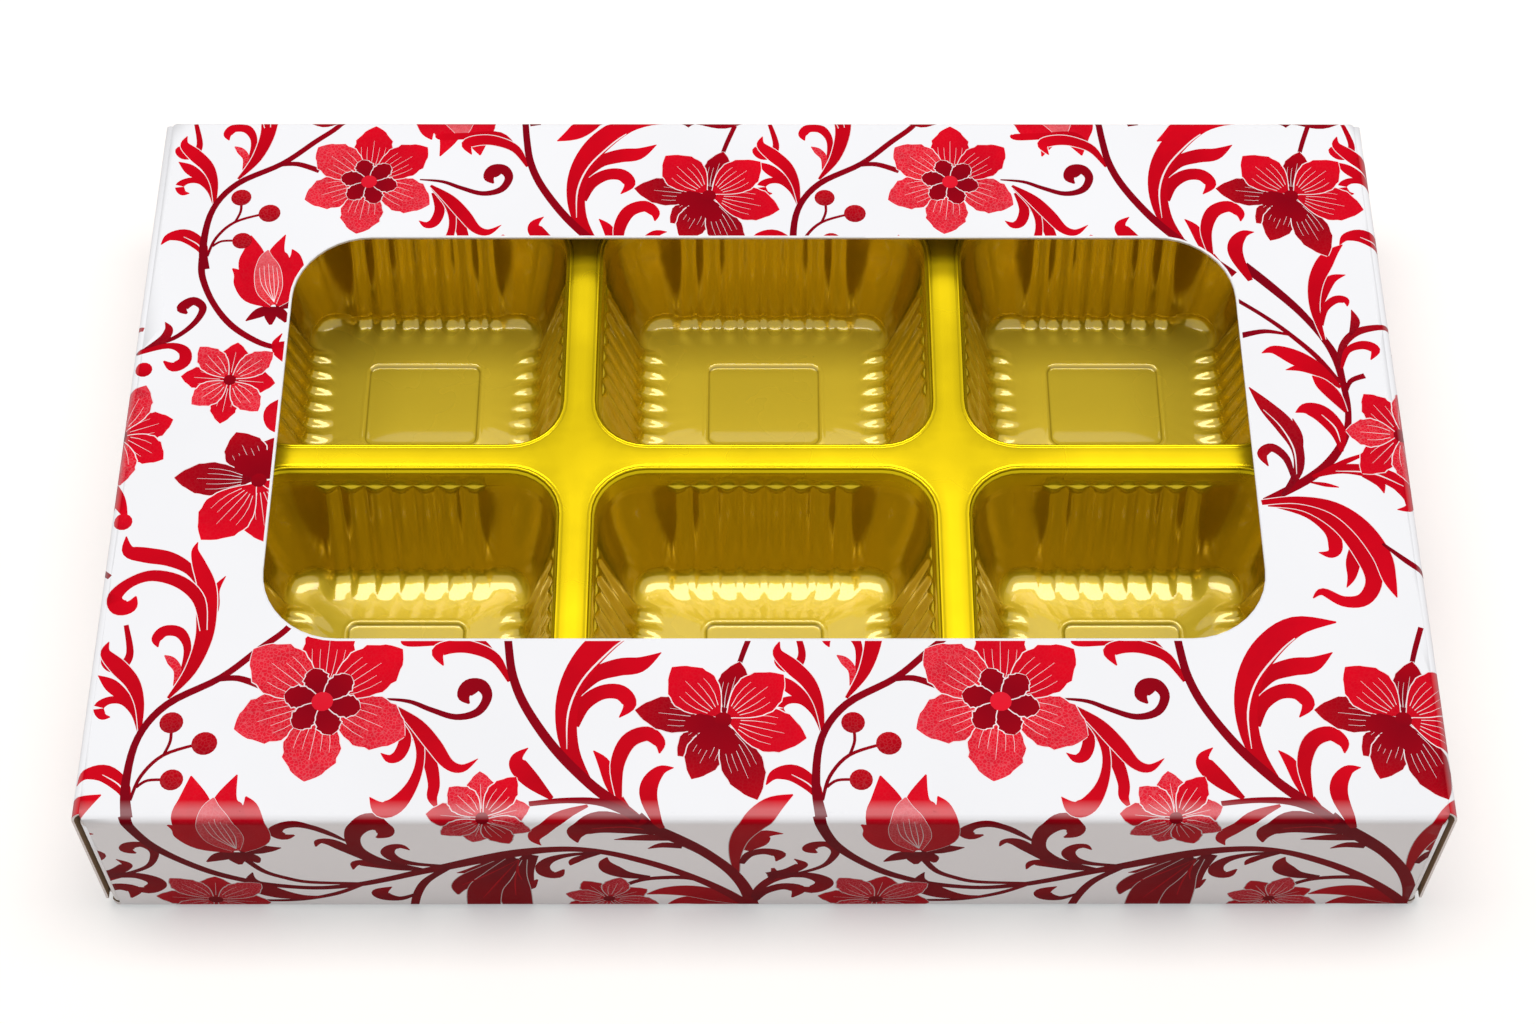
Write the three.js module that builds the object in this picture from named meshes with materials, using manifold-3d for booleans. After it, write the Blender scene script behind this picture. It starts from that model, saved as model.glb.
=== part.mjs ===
// A folding carton for boxed chocolates: a glued tube of white board with a rounded window in its lid,
// a hinged closure flap, tuck tongue and two dust flaps at each end, and a loose vacuum-formed tray
// with six fluted cavities inside.
// Millimetres, +Z up. The origin lies on the table under the middle of the box, +X runs along its
// length and -Y is the front.
import * as THREE from "three";
import { mergeVertices } from "three/addons/utils/BufferGeometryUtils.js";
import Module from "manifold-3d";

const wasm = await Module();
wasm.setup();

// Tray: the plan of its cavities
const MIDDLE_CAVITY_WIDTH = 57;
const SIDE_CAVITY_WIDTH = 54;
const CAVITY_LENGTH = 48.5;
const COLUMN_DIVIDER = 6.6;
const ROW_DIVIDER = 6;
const TRAY_FLANGE = 16;
const TRAY_CORNER_RADIUS = 6;

// Tray: its heights and walls
const TRAY_SHEET = 0.35;
const CAVITY_DEPTH = 24.6;
const FOOT_LENGTH = 20;
const FOOT_WIDTH = 17;
const FOOT_RADIUS = 1.5;
const FOOT_DEPTH = 0.4;
const TRAY_LIP = 4;
const LIP_CHAMFER = 0.8;
const MOUTH_RADIUS = 1.3;
const MOUTH_CORNER = 8.5;
const COLLAR_HEIGHT = 4.6;
const COLLAR_DRAFT = 0.3;
const LEDGE_WIDTH = 1.2;
const WALL_DRAFT = 4.8;
const HEEL_WIDTH = 2;
const HEEL_HEIGHT = 2.6;
const HEEL_CORNER = 5.2;

// Tray: the flutes pressed into its walls
const FLUTE_DEPTH = 0.8;
const LONG_FLUTE_PITCH = 4.2;
const SHORT_FLUTE_PITCH = 3.5;
const PLAIN_CORNER = 11.5;

// Carton: board, folds and the room it leaves round the tray
const BOARD = 0.4;
const FOLD_RADIUS = 1.3;
const CREASE_GAP = 0.3;
const TRAY_SEAT_GAP = 0.3;
const HEADROOM = 5.55;
const END_PLAY = 1.2;
const SIDE_PLAY = 2.1;
const TRAY_SET_BACK = 1.5;
const FLAP_SLIT = 0.9;

// Carton: window, flaps and glued seam
const WINDOW_END_MARGIN = 26;
const WINDOW_FRONT_MARGIN = 32.6;
const WINDOW_BACK_MARGIN = 26.4;
const WINDOW_RADIUS = 13;
const CLOSURE_SIDE_GAP = 0.7;
const TONGUE_LENGTH = 12;
const TONGUE_RADIUS = 8;
const TONGUE_SIDE_GAP = 2.2;
const TONGUE_LIFT = 0.7;
const DUST_LENGTH = 30;
const DUST_RADIUS = 2.5;
const DUST_FOOT_GAP = 2.2;
const DUST_TOP_TAPER = THREE.MathUtils.degToRad(25);
const DUST_FOOT_TAPER = THREE.MathUtils.degToRad(10);
const GLUE_LINE = 0.05;
const GLUE_FLAP_WIDTH = 12;
const GLUE_FLAP_END_GAP = 3;
const GLUE_FLAP_TAPER = THREE.MathUtils.degToRad(30);
const BACK_FOOT_GAP = 0.3;

// Fineness of the round stretches
const FOLD_STEPS = 5;
const CORNER_STEPS = 4;

// Sizes that follow from those above
const COLUMN_PITCH = (MIDDLE_CAVITY_WIDTH + SIDE_CAVITY_WIDTH) / 2 + COLUMN_DIVIDER;
const ROW_PITCH = CAVITY_LENGTH + ROW_DIVIDER;
const TRAY_HALF_LENGTH = COLUMN_PITCH + SIDE_CAVITY_WIDTH / 2 + TRAY_FLANGE;
const TRAY_HALF_DEPTH = (ROW_PITCH + CAVITY_LENGTH) / 2 + TRAY_FLANGE;
const FLOOR_TOP = BOARD + TRAY_SEAT_GAP + TRAY_SHEET + FOOT_DEPTH;
const DECK_TOP = FLOOR_TOP + CAVITY_DEPTH;
const TUBE_END = TRAY_HALF_LENGTH + END_PLAY + BOARD;
const HALF_LENGTH = TUBE_END + FLAP_SLIT + BOARD;
const HALF_DEPTH = TRAY_HALF_DEPTH + SIDE_PLAY + BOARD;
const BOX_HEIGHT = DECK_TOP + HEADROOM + BOARD;
const SEAM_FACE = HALF_DEPTH - BOARD - GLUE_LINE;
const CREASE = BOARD + CREASE_GAP;
const TONGUE_LEVEL = BOARD + TONGUE_LIFT;

const whiteBoard = new THREE.MeshStandardMaterial({ color: 0xf3f2f4, roughness: 0.42, metalness: 0 });
const printedBoard = new THREE.MeshStandardMaterial({ color: 0xe9b9bb, roughness: 0.4, metalness: 0 });
const plainBoard = new THREE.MeshStandardMaterial({ color: 0xb9a58c, roughness: 0.75, metalness: 0 });
const goldSheet = new THREE.MeshStandardMaterial({ color: 0xcaa81c, roughness: 0.28, metalness: 0.9 });

// Closed geometry as a solid that can be joined and cut.
function solidOf(geometry) {
  const bare = geometry.clone();
  bare.deleteAttribute("normal");
  bare.deleteAttribute("uv");
  const merged = mergeVertices(bare, 1e-4);
  return new wasm.Manifold(
    new wasm.Mesh({
      numProp: 3,
      vertProperties: new Float32Array(merged.attributes.position.array),
      triVerts: new Uint32Array(merged.index.array),
    }),
  );
}

// The surface of a solid as a geometry for a mesh.
function geometryOf(solid) {
  const mesh = solid.getMesh();
  const geometry = new THREE.BufferGeometry();
  geometry.setAttribute("position", new THREE.BufferAttribute(mesh.vertProperties, 3));
  geometry.setIndex(new THREE.BufferAttribute(mesh.triVerts, 1));
  geometry.computeVertexNormals();
  return geometry;
}

function namedMesh(name, geometry, material) {
  const mesh = new THREE.Mesh(geometry, material);
  mesh.name = name;
  return mesh;
}

// A flat outline given thickness along +Z.
function plate(outline, thickness) {
  const options = { depth: thickness, bevelEnabled: false, curveSegments: CORNER_STEPS };
  return new THREE.ExtrudeGeometry(outline, options);
}

const AXIS_X = new THREE.Vector3(1, 0, 0);
const AXIS_Y = new THREE.Vector3(0, 1, 0);
const AXIS_Z = new THREE.Vector3(0, 0, 1);

// An outline drawn in Y and Z, given thickness along +X.
function plateAcrossX(outline, thickness) {
  const turned = new THREE.Matrix4().makeBasis(AXIS_Y, AXIS_Z, AXIS_X);
  return plate(outline, thickness).applyMatrix4(turned);
}

// An outline drawn in Z and X, given thickness along +Y.
function plateAcrossY(outline, thickness) {
  const turned = new THREE.Matrix4().makeBasis(AXIS_Z, AXIS_X, AXIS_Y);
  return plate(outline, thickness).applyMatrix4(turned);
}

function polygon(corners) {
  return new THREE.Shape(corners.map(([x, y]) => new THREE.Vector2(x, y)));
}

function roundedRectangle(halfX, halfY, radius) {
  const outline = new THREE.Shape();
  outline.absarc(halfX - radius, radius - halfY, radius, -Math.PI / 2, 0);
  outline.absarc(halfX - radius, halfY - radius, radius, 0, Math.PI / 2);
  outline.absarc(radius - halfX, halfY - radius, radius, Math.PI / 2, Math.PI);
  outline.absarc(radius - halfX, radius - halfY, radius, Math.PI, Math.PI * 1.5);
  outline.closePath();
  return outline;
}

// Section of a panel with a rounded fold along each long edge. Its outer face lies at faceZ, and
// both folds turn up (turn 1) or down (turn -1) as far as their walls.
function foldedSection(frontY, backY, faceZ, turn) {
  const centreZ = faceZ + turn * FOLD_RADIUS;
  const inner = FOLD_RADIUS - BOARD;
  const flat = -turn * Math.PI / 2;
  const front = -turn * Math.PI;
  const lid = turn < 0;
  const section = new THREE.Shape();
  section.absarc(frontY + FOLD_RADIUS, centreZ, FOLD_RADIUS, front, flat, lid);
  section.absarc(backY - FOLD_RADIUS, centreZ, FOLD_RADIUS, flat, 0, lid);
  section.absarc(backY - FOLD_RADIUS, centreZ, inner, 0, flat, !lid);
  section.absarc(frontY + FOLD_RADIUS, centreZ, inner, flat, front, !lid);
  section.closePath();
  return section;
}

// A folded panel that runs the length of the tube.
function foldedPanel(section, halfLength) {
  const options = { depth: 2 * halfLength, bevelEnabled: false, curveSegments: FOLD_STEPS };
  const turned = new THREE.Matrix4().makeBasis(AXIS_Y, AXIS_Z, AXIS_X);
  const panel = new THREE.ExtrudeGeometry(section, options).applyMatrix4(turned);
  return panel.translate(-halfLength, 0, 0);
}

// Lid of the tube, with its rounded window.
function topPanel() {
  const section = foldedSection(-HALF_DEPTH, HALF_DEPTH, BOX_HEIGHT, -1);
  const panel = solidOf(foldedPanel(section, HALF_LENGTH - CREASE));
  const windowHalfX = HALF_LENGTH - WINDOW_END_MARGIN;
  const windowHalfY = HALF_DEPTH - (WINDOW_FRONT_MARGIN + WINDOW_BACK_MARGIN) / 2;
  const windowY = (WINDOW_FRONT_MARGIN - WINDOW_BACK_MARGIN) / 2;
  const opening = plate(roundedRectangle(windowHalfX, windowHalfY, WINDOW_RADIUS), 3 * BOARD);
  opening.translate(0, windowY, BOX_HEIGHT - 2 * BOARD);
  return namedMesh("top_panel", geometryOf(panel.subtract(solidOf(opening))), printedBoard);
}

// Base of the tube. Its back fold leads up into the glue flap, inside the back panel.
function bottomPanel() {
  const section = foldedSection(-HALF_DEPTH, SEAM_FACE, 0, 1);
  return namedMesh("bottom_panel", foldedPanel(section, HALF_LENGTH - CREASE), whiteBoard);
}

function sidePanel(name, faceY, lowest, material) {
  const halfLength = TUBE_END - CREASE;
  const highest = BOX_HEIGHT - FOLD_RADIUS;
  const outline = polygon([
    [lowest, -halfLength],
    [highest, -halfLength],
    [highest, halfLength],
    [lowest, halfLength],
  ]);
  const panel = namedMesh(name, plateAcrossY(outline, BOARD), material);
  panel.position.y = faceY;
  return panel;
}

// Seam flap, tapered at both ends and glued to the inside of the back panel.
function glueFlap() {
  const halfLength = TUBE_END - CREASE - GLUE_FLAP_END_GAP;
  const taper = GLUE_FLAP_WIDTH * Math.tan(GLUE_FLAP_TAPER);
  const foot = FOLD_RADIUS;
  const top = FOLD_RADIUS + GLUE_FLAP_WIDTH;
  const outline = polygon([
    [foot, -halfLength],
    [top, taper - halfLength],
    [top, halfLength - taper],
    [foot, halfLength],
  ]);
  const flap = namedMesh("glue_flap", plateAcrossY(outline, BOARD), plainBoard);
  flap.position.y = SEAM_FACE - BOARD;
  return flap;
}

// End flap hung from the lid. Its origin is the outer corner of the crease.
function closureFlap(name) {
  const halfWidth = HALF_DEPTH - CLOSURE_SIDE_GAP;
  const foot = CREASE - (BOX_HEIGHT - TONGUE_LEVEL);
  const outline = polygon([
    [-halfWidth, foot],
    [halfWidth, foot],
    [halfWidth, -CREASE],
    [-halfWidth, -CREASE],
  ]);
  const flap = namedMesh(name, plateAcrossX(outline, BOARD), printedBoard);
  flap.position.x = -BOARD;
  return flap;
}

// Tongue that tucks in over the base, its free corners rounded. Its origin is the inner corner of its
// crease, so that it can fold up against the closure flap.
function tuckTongue(name) {
  const halfWidth = HALF_DEPTH - TONGUE_SIDE_GAP;
  const tip = BOARD - TONGUE_LENGTH;
  const outline = new THREE.Shape();
  outline.moveTo(-CREASE_GAP, -halfWidth);
  outline.lineTo(-CREASE_GAP, halfWidth);
  outline.absarc(tip + TONGUE_RADIUS, halfWidth - TONGUE_RADIUS, TONGUE_RADIUS, Math.PI / 2, Math.PI);
  outline.absarc(tip + TONGUE_RADIUS, TONGUE_RADIUS - halfWidth, TONGUE_RADIUS, Math.PI, Math.PI * 1.5);
  outline.closePath();
  const tongue = namedMesh(name, plate(outline, BOARD), whiteBoard);
  tongue.position.z = -BOARD;
  return tongue;
}

// Tapered dust flap. Its origin is the outer corner of its upright crease, and it reaches along
// inward (1 or -1) times Y.
function dustFlap(name, inward) {
  const foot = BOARD + DUST_FOOT_GAP;
  const head = BOX_HEIGHT - FOLD_RADIUS - CREASE_GAP;
  const run = DUST_LENGTH - CREASE;
  const tipFoot = foot + run * Math.tan(DUST_FOOT_TAPER);
  const tipHead = head - run * Math.tan(DUST_TOP_TAPER);
  const round = Math.min(DUST_RADIUS, (tipHead - tipFoot) / 2);
  const outline = polygon([
    [inward * CREASE, foot],
    [inward * (DUST_LENGTH - round), tipFoot - round * Math.tan(DUST_FOOT_TAPER)],
    [inward * DUST_LENGTH, tipFoot + round],
    [inward * DUST_LENGTH, tipHead - round],
    [inward * (DUST_LENGTH - round), tipHead + round * Math.tan(DUST_TOP_TAPER)],
    [inward * CREASE, head],
  ]);
  const flap = namedMesh(name, plateAcrossX(outline, BOARD), whiteBoard);
  flap.position.x = -BOARD;
  return flap;
}

// The four flaps of one end, each inside a group that stands on its crease. The left end is the
// right one turned half round.
function endFlaps(side) {
  const end = new THREE.Group();
  end.rotation.z = side === "right" ? 0 : Math.PI;
  const closureHinge = new THREE.Group();
  closureHinge.position.set(HALF_LENGTH, 0, BOX_HEIGHT);
  const tongueHinge = new THREE.Group();
  tongueHinge.position.set(-BOARD, 0, TONGUE_LEVEL + BOARD - BOX_HEIGHT);
  tongueHinge.add(tuckTongue(`${side}_tuck_tongue`));
  closureHinge.add(closureFlap(`${side}_closure_flap`), tongueHinge);
  end.add(closureHinge);
  for (const edge of [-1, 1]) {
    const isFront = (edge < 0) === (side === "right");
    const hinge = new THREE.Group();
    hinge.position.set(TUBE_END, edge * HALF_DEPTH, 0);
    hinge.add(dustFlap(`${side}_${isFront ? "front" : "back"}_dust_flap`, -edge));
    end.add(hinge);
  }
  return end;
}

// Rounded rectangle as points, counter-clockwise from above. Its straight sides carry concave
// flutes where a flute count is given: long ones along X, short ones along Y.
function cavityOutline(halfX, halfY, radius, flutes) {
  const points = [];
  for (let side = 0; side < 4; side++) {
    const normal = new THREE.Vector2(Math.cos(side * Math.PI / 2), Math.sin(side * Math.PI / 2));
    const along = new THREE.Vector2(-normal.y, normal.x);
    const reach = side % 2 ? halfY : halfX;
    const across = side % 2 ? halfX : halfY;
    const at = (run, out) => along.clone().multiplyScalar(run).addScaledVector(normal, reach + out);
    const centre = at(radius - across, -radius);
    for (let step = 0; step <= CORNER_STEPS; step++) {
      const angle = (side - 1 + step / CORNER_STEPS) * Math.PI / 2;
      points.push(new THREE.Vector2(Math.cos(angle), Math.sin(angle)).multiplyScalar(radius).add(centre));
    }
    if (!flutes) continue;
    const count = side % 2 ? flutes.longCount : flutes.shortCount;
    const pitch = side % 2 ? LONG_FLUTE_PITCH : SHORT_FLUTE_PITCH;
    for (let flute = 0; flute <= count; flute++) {
      const ridge = (flute - count / 2) * pitch;
      points.push(at(ridge, 0));
      if (flute < count) points.push(at(ridge + pitch / 2, flutes.depth));
    }
  }
  return points;
}

// Closed body through outlines with equal numbers of points, each at its own height, lowest first.
function loft(levels) {
  const count = levels[0].outline.length;
  const highest = levels.length - 1;
  const positions = levels.flatMap(({ z, outline }) => outline.flatMap((point) => [point.x, point.y, z]));
  positions.push(0, 0, levels[0].z, 0, 0, levels[highest].z);
  const floor = levels.length * count;
  const lid = floor + 1;
  const index = [];
  for (let i = 0; i < count; i++) {
    const next = (i + 1) % count;
    for (let level = 0; level < highest; level++) {
      const row = level * count;
      index.push(row + i, row + next, row + next + count);
      index.push(row + i, row + next + count, row + i + count);
    }
    index.push(floor, next, i);
    index.push(lid, highest * count + i, highest * count + next);
  }
  const geometry = new THREE.BufferGeometry();
  geometry.setAttribute("position", new THREE.Float32BufferAttribute(positions, 3));
  geometry.setIndex(index);
  return solidOf(geometry);
}

// One cavity as a full body: its hollow with wall 0, or its outside with wall equal to the sheet.
function cavityBody(width, wall) {
  const halfX = width / 2;
  const halfY = CAVITY_LENGTH / 2;
  const longCount = Math.floor((width - 2 * PLAIN_CORNER) / LONG_FLUTE_PITCH);
  const shortCount = Math.floor((CAVITY_LENGTH - 2 * PLAIN_CORNER) / SHORT_FLUTE_PITCH);
  const level = (z, inset, corner, depth) => {
    const grow = wall - inset;
    const flutes = depth === null ? null : { longCount, shortCount, depth };
    return { z, outline: cavityOutline(halfX + grow, halfY + grow, corner + wall, flutes) };
  };
  const ledge = DECK_TOP - COLLAR_HEIGHT - wall;
  const heelInset = LEDGE_WIDTH + WALL_DRAFT;
  const flutedWalls = loft([
    level(FLOOR_TOP - wall, heelInset + HEEL_WIDTH, HEEL_CORNER - HEEL_WIDTH, 0),
    level(FLOOR_TOP - wall + HEEL_HEIGHT, heelInset, HEEL_CORNER, FLUTE_DEPTH),
    level(ledge, LEDGE_WIDTH, MOUTH_CORNER - LEDGE_WIDTH, FLUTE_DEPTH),
  ]);
  const rim = (turn) => {
    const radius = MOUTH_RADIUS - wall;
    const out = MOUTH_RADIUS - radius * Math.cos(turn) - wall;
    const z = DECK_TOP - MOUTH_RADIUS + radius * Math.sin(turn);
    return level(z, -out, MOUTH_CORNER + out, null);
  };
  const top = rim(Math.PI / 2);
  const above = { z: wall > 0 ? DECK_TOP - wall / 2 : DECK_TOP + MOUTH_RADIUS, outline: top.outline };
  const collar = loft([
    level(ledge, COLLAR_DRAFT, MOUTH_CORNER - COLLAR_DRAFT, null),
    rim(0),
    rim(Math.PI / 4),
    top,
    above,
  ]);
  const footOutline = roundedRectangle(FOOT_LENGTH / 2 + wall, FOOT_WIDTH / 2 + wall, FOOT_RADIUS + wall);
  const foot = plate(footOutline, FOOT_DEPTH + HEEL_HEIGHT);
  foot.translate(0, 0, FLOOR_TOP - wall - FOOT_DEPTH);
  return flutedWalls.add(collar).add(solidOf(foot));
}

// Deck of the tray with its turned-down lip, before the cavities are let in.
function trayDeck() {
  const lowest = DECK_TOP - TRAY_LIP;
  const level = (z, inset) => {
    const halfX = TRAY_HALF_LENGTH - inset;
    const halfY = TRAY_HALF_DEPTH - inset;
    return { z, outline: cavityOutline(halfX, halfY, TRAY_CORNER_RADIUS - inset, null) };
  };
  const outside = loft([level(lowest, 0), level(DECK_TOP - LIP_CHAMFER, 0), level(DECK_TOP, LIP_CHAMFER)]);
  const inside = loft([
    level(lowest - TRAY_SHEET, TRAY_SHEET),
    level(DECK_TOP - LIP_CHAMFER - TRAY_SHEET / 2, TRAY_SHEET),
    level(DECK_TOP - TRAY_SHEET, LIP_CHAMFER + TRAY_SHEET / 2),
  ]);
  return outside.subtract(inside);
}

// One-piece tray: two rows of three cavities let into the deck.
function tray() {
  let sheet = trayDeck();
  const hollows = [];
  for (const column of [-1, 0, 1]) {
    const width = column ? SIDE_CAVITY_WIDTH : MIDDLE_CAVITY_WIDTH;
    const outside = cavityBody(width, TRAY_SHEET);
    const hollow = cavityBody(width, 0);
    for (const row of [-0.5, 0.5]) {
      const place = [column * COLUMN_PITCH, row * ROW_PITCH, 0];
      sheet = sheet.add(outside.translate(place));
      hollows.push(hollow.translate(place));
    }
  }
  hollows.forEach((hollow) => {
    sheet = sheet.subtract(hollow);
  });
  const mesh = namedMesh("tray", geometryOf(sheet), goldSheet);
  mesh.position.y = TRAY_SET_BACK;
  return mesh;
}

const chocolateBox = new THREE.Group();
chocolateBox.add(
  topPanel(),
  bottomPanel(),
  sidePanel("front_panel", -HALF_DEPTH, FOLD_RADIUS, printedBoard),
  sidePanel("back_panel", HALF_DEPTH - BOARD, BACK_FOOT_GAP, printedBoard),
  glueFlap(),
  endFlaps("left"),
  endFlaps("right"),
  tray(),
);

export default chocolateBox;
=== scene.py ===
"""Flat chocolate box: a white carton with a red floral scroll and a window, over a loose gold cavity tray."""
from math import cos, hypot, pi, radians, sin

import bpy
import numpy as np
from mathutils import Matrix, Vector
from mathutils.geometry import delaunay_2d_cdt


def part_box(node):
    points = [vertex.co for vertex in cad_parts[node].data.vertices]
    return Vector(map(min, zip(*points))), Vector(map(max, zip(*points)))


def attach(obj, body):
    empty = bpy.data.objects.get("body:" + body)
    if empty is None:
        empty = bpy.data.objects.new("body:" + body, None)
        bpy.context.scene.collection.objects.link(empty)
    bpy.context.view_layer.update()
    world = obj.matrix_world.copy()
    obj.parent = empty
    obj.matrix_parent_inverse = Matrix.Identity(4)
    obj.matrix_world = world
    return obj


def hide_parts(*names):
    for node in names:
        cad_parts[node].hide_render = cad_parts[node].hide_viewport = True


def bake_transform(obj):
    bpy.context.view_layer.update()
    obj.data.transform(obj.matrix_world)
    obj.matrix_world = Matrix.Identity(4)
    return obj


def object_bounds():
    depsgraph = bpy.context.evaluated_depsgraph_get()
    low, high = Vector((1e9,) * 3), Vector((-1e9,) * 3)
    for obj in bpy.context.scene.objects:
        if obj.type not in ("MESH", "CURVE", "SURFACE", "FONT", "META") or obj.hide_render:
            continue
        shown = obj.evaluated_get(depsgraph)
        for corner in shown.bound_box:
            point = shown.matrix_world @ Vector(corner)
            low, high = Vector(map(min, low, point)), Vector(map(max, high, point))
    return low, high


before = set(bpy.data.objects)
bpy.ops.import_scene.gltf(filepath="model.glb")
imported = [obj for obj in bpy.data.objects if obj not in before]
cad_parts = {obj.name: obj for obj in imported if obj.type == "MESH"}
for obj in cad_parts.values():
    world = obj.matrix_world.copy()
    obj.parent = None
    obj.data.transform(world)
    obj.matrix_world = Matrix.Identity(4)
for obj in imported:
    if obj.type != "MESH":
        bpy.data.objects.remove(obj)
CAD_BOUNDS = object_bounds()

bl_info = {
    "name": "Chocolate Box",
    "version": (1, 0, 0),
    "blender": (4, 5, 0),
    "location": "View3D > Sidebar > Chocolate Box",
    "description": "Dresses a folding carton with its printed board, flaps and fluted gold tray",
    "category": "Object",
}

MM = 0.001
SIDES = {"left": -1, "right": 1}
EDGES = {"front": -1, "back": 1}


def span(node):
    """Lowest and highest corner of a CAD node in millimetres."""
    low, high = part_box(node)
    return np.array(low) / MM, np.array(high) / MM


HALF_LENGTH, HALF_DEPTH, HEIGHT = np.array(CAD_BOUNDS[1]) / MM
TUBE_END = span("right_front_dust_flap")[1][0]
BASE_HALF = span("bottom_panel")[1][0]
BACK_FOOT = span("back_panel")[0][2]
SEAM_HALF, SEAM_FACE, SEAM_TOP = span("glue_flap")[1]
CLOSURE_HALF = span("right_closure_flap")[1][1]
TONGUE_TIP, _, TONGUE_LEVEL = span("right_tuck_tongue")[0]
TONGUE_HALF = span("right_tuck_tongue")[1][1]
TRAY_LOW, TRAY_HIGH = span("tray")
TRAY_HALF_X, _, DECK_TOP = TRAY_HIGH
TRAY_HALF_Y = (TRAY_HIGH[1] - TRAY_LOW[1]) / 2
TRAY_MIDDLE_Y = (TRAY_LOW[1] + TRAY_HIGH[1]) / 2

# Points this close, in millimetres, are joined when a flat is cut up, must meet at a rim, and are welded.
JOIN_GAP = 1e-4
RIM_GAP = 1e-3
WELD_GAP = 0.02

# The board: corners in millimetres, tapers in degrees.
FOLD_FACETS = 6
SEAM_TAPER = 30.0
TONGUE_CORNER = 8.0
DUST_CORNER = 2.5
DUST_FOOT_TAPER = 10.0
DUST_HEAD_TAPER = 25.0

# The print: the bare margin round the window, left white as a painted highlight of its pressed cut edge, and
# the stations across the lid's front fold between which the inks are paled as a painted highlight, also read
# as rubbed ink, then the brush and its inks.
BARE_EDGE_HIGHLIGHT = 0.45
FADE_STEPS = (-2.4, -0.7, 0.2, 1.0)
BACK_SCALE = 0.95
BACK_BLOSSOM = 0.82
WALL_PRESS = 1.15
FINEST_LINE = 0.06
PETAL_STEPS = 16
PETAL_FOOT = 1.15
TIP_CROWDING = 1.3
RUFFLES = 11
VEIN_WIDTH, VEIN_TAPER, VEIN_SPREAD = 0.10, 0.06, 0.8
PAPER_INK = (0.90, 0.82, 0.83)
ENGRAVED_PINK = (0.86, 0.40, 0.43)
STIPPLE_RED = (0.20, 0.0, 0.01)
MOTTLE_RED = (0.14, 0.0, 0.008)

# The tray's deck and lip.
TRAY_CORNER = 6.0
LIP_ROUND = 0.8
LIP_DROP = 4.0
LIP_PROFILE = ((LIP_ROUND, 0.0), (0.42, -0.06), (0.15, -0.25), (0.0, -LIP_ROUND), (0.0, -LIP_DROP))
CROWN = 0.25
CROWN_END = 6.0
ROW_RIDGE_POINTS, COLUMN_RIDGE_POINTS = 61, 41

# A cavity: stations round it, then its levels from the mouth down.
MOUTH_RIM = 1.5
MOUTH_CORNER = 8.5
PLAIN_CORNER = 11.5
LONG_PITCH = 4.2
SHORT_PITCH = 3.5
RUN_FIT = 0.98
FLUTE_STEPS = 6
CORNER_STEPS = 8
CAVITY_DEPTH = 24.6
FOOT_HALF = (10.0, 8.5)
LONG_HEEL = 0.85
HEEL_TILT = 20.0
# (outside the mouth, drop)
MOUTH_PROFILE = (
    (MOUTH_RIM, 0.0), (1.38, 0.0), (1.2, 0.18), (0.98, -0.06), (0.82, -0.18), (0.66, -0.1), (0.54, 0.25),
    (0.42, 0.45), (0.15, 0.56), (0.0, 1.05))
# (inside the mouth, drop, corner radius, weight of the flutes, tilt of the flutes)
FLUTE_TOPS = (
    (0.28, 4.0, 8.2, 0.0, 0), (0.29, 4.04, 8.2, 0.13, 0), (0.3, 4.09, 8.2, 0.26, 0),
    (0.32, 4.2, 8.15, 0.45, 0), (0.36, 4.5, 8.1, 0.66, 2), (0.42, 4.9, 8.05, 0.86, 4),
    (0.5, 5.4, 7.95, 0.98, 7), (0.56, 6.0, 7.9, 1.0, 8))
WALL_FOOT = (5.2, 22.0, 5.4, 1.0, 8)
WALL_STEPS = 4
HEEL_PROFILE = (
    (5.6, 22.9, 5.1, 1.0, 22), (6.3, 23.7, 4.5, 1.0, 45), (7.2, 24.25, 3.8, 0.95, 65),
    (8.4, 24.5, 2.8, 0.8, 82), (9.6, 24.58, 2.2, 0.5, 90), (10.6, 24.6, 1.9, 0.12, 90),
    (11.2, 24.6, 1.8, 0.0, 90))
# (outside the foot, drop below the floor, corner radius)
FOOT_PROFILE = (
    (1.3, 0.0, 2.8), (1.0, -0.05, 2.5), (0.7, -0.15, 2.2), (0.45, -0.13, 1.95), (0.22, 0.04, 1.7),
    (-0.14, 0.36, 1.4), (-0.3, 0.4, 1.25), (-0.8, 0.4, 1.0))

# The gold sheet: colours, with painted shade on the walls, towards the mouth rims and in the creases, and a
# painted sheen on the floors, and the heights between which it changes.
SHADED_WALL_GOLD = (0.50, 0.337, 0.003)
PAINTED_FLOOR_SHEEN = (0.62, 0.52, 0.26)
WALL_FADE = (23.5 * MM, 20.5 * MM)
FLOOR_FADE = (1.8 * MM, 3.6 * MM)
DECK_SHADE_HEIGHTS = (25.98 * MM, 26.20 * MM)
SHADED_CREASE_BANDS = ((25.60 * MM, 25.99 * MM), (1.02 * MM, 1.42 * MM))

# The finishes: grain in cells a metre, and relief in metres.
ENGRAVING_NET = 1750.0
STIPPLE_GRAIN = 800.0
MOTTLE_GRAIN = 90.0
PAPER_GRAIN = 28.0
VARNISH_GRAIN = 240.0
PRINT_GRAIN = 1700.0
COATING_GRAIN = 1500.0
FIBRE_GRAIN = 900.0
FLECK_GRAIN = 420.0
PLY_GRAIN = 2600.0
CLOUD_GRAIN = 30.0
COATING_RELIEF = 0.03 * MM
FIBRE_RELIEF = 0.04 * MM
SHEET_RELIEF = 0.3 * MM

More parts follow.
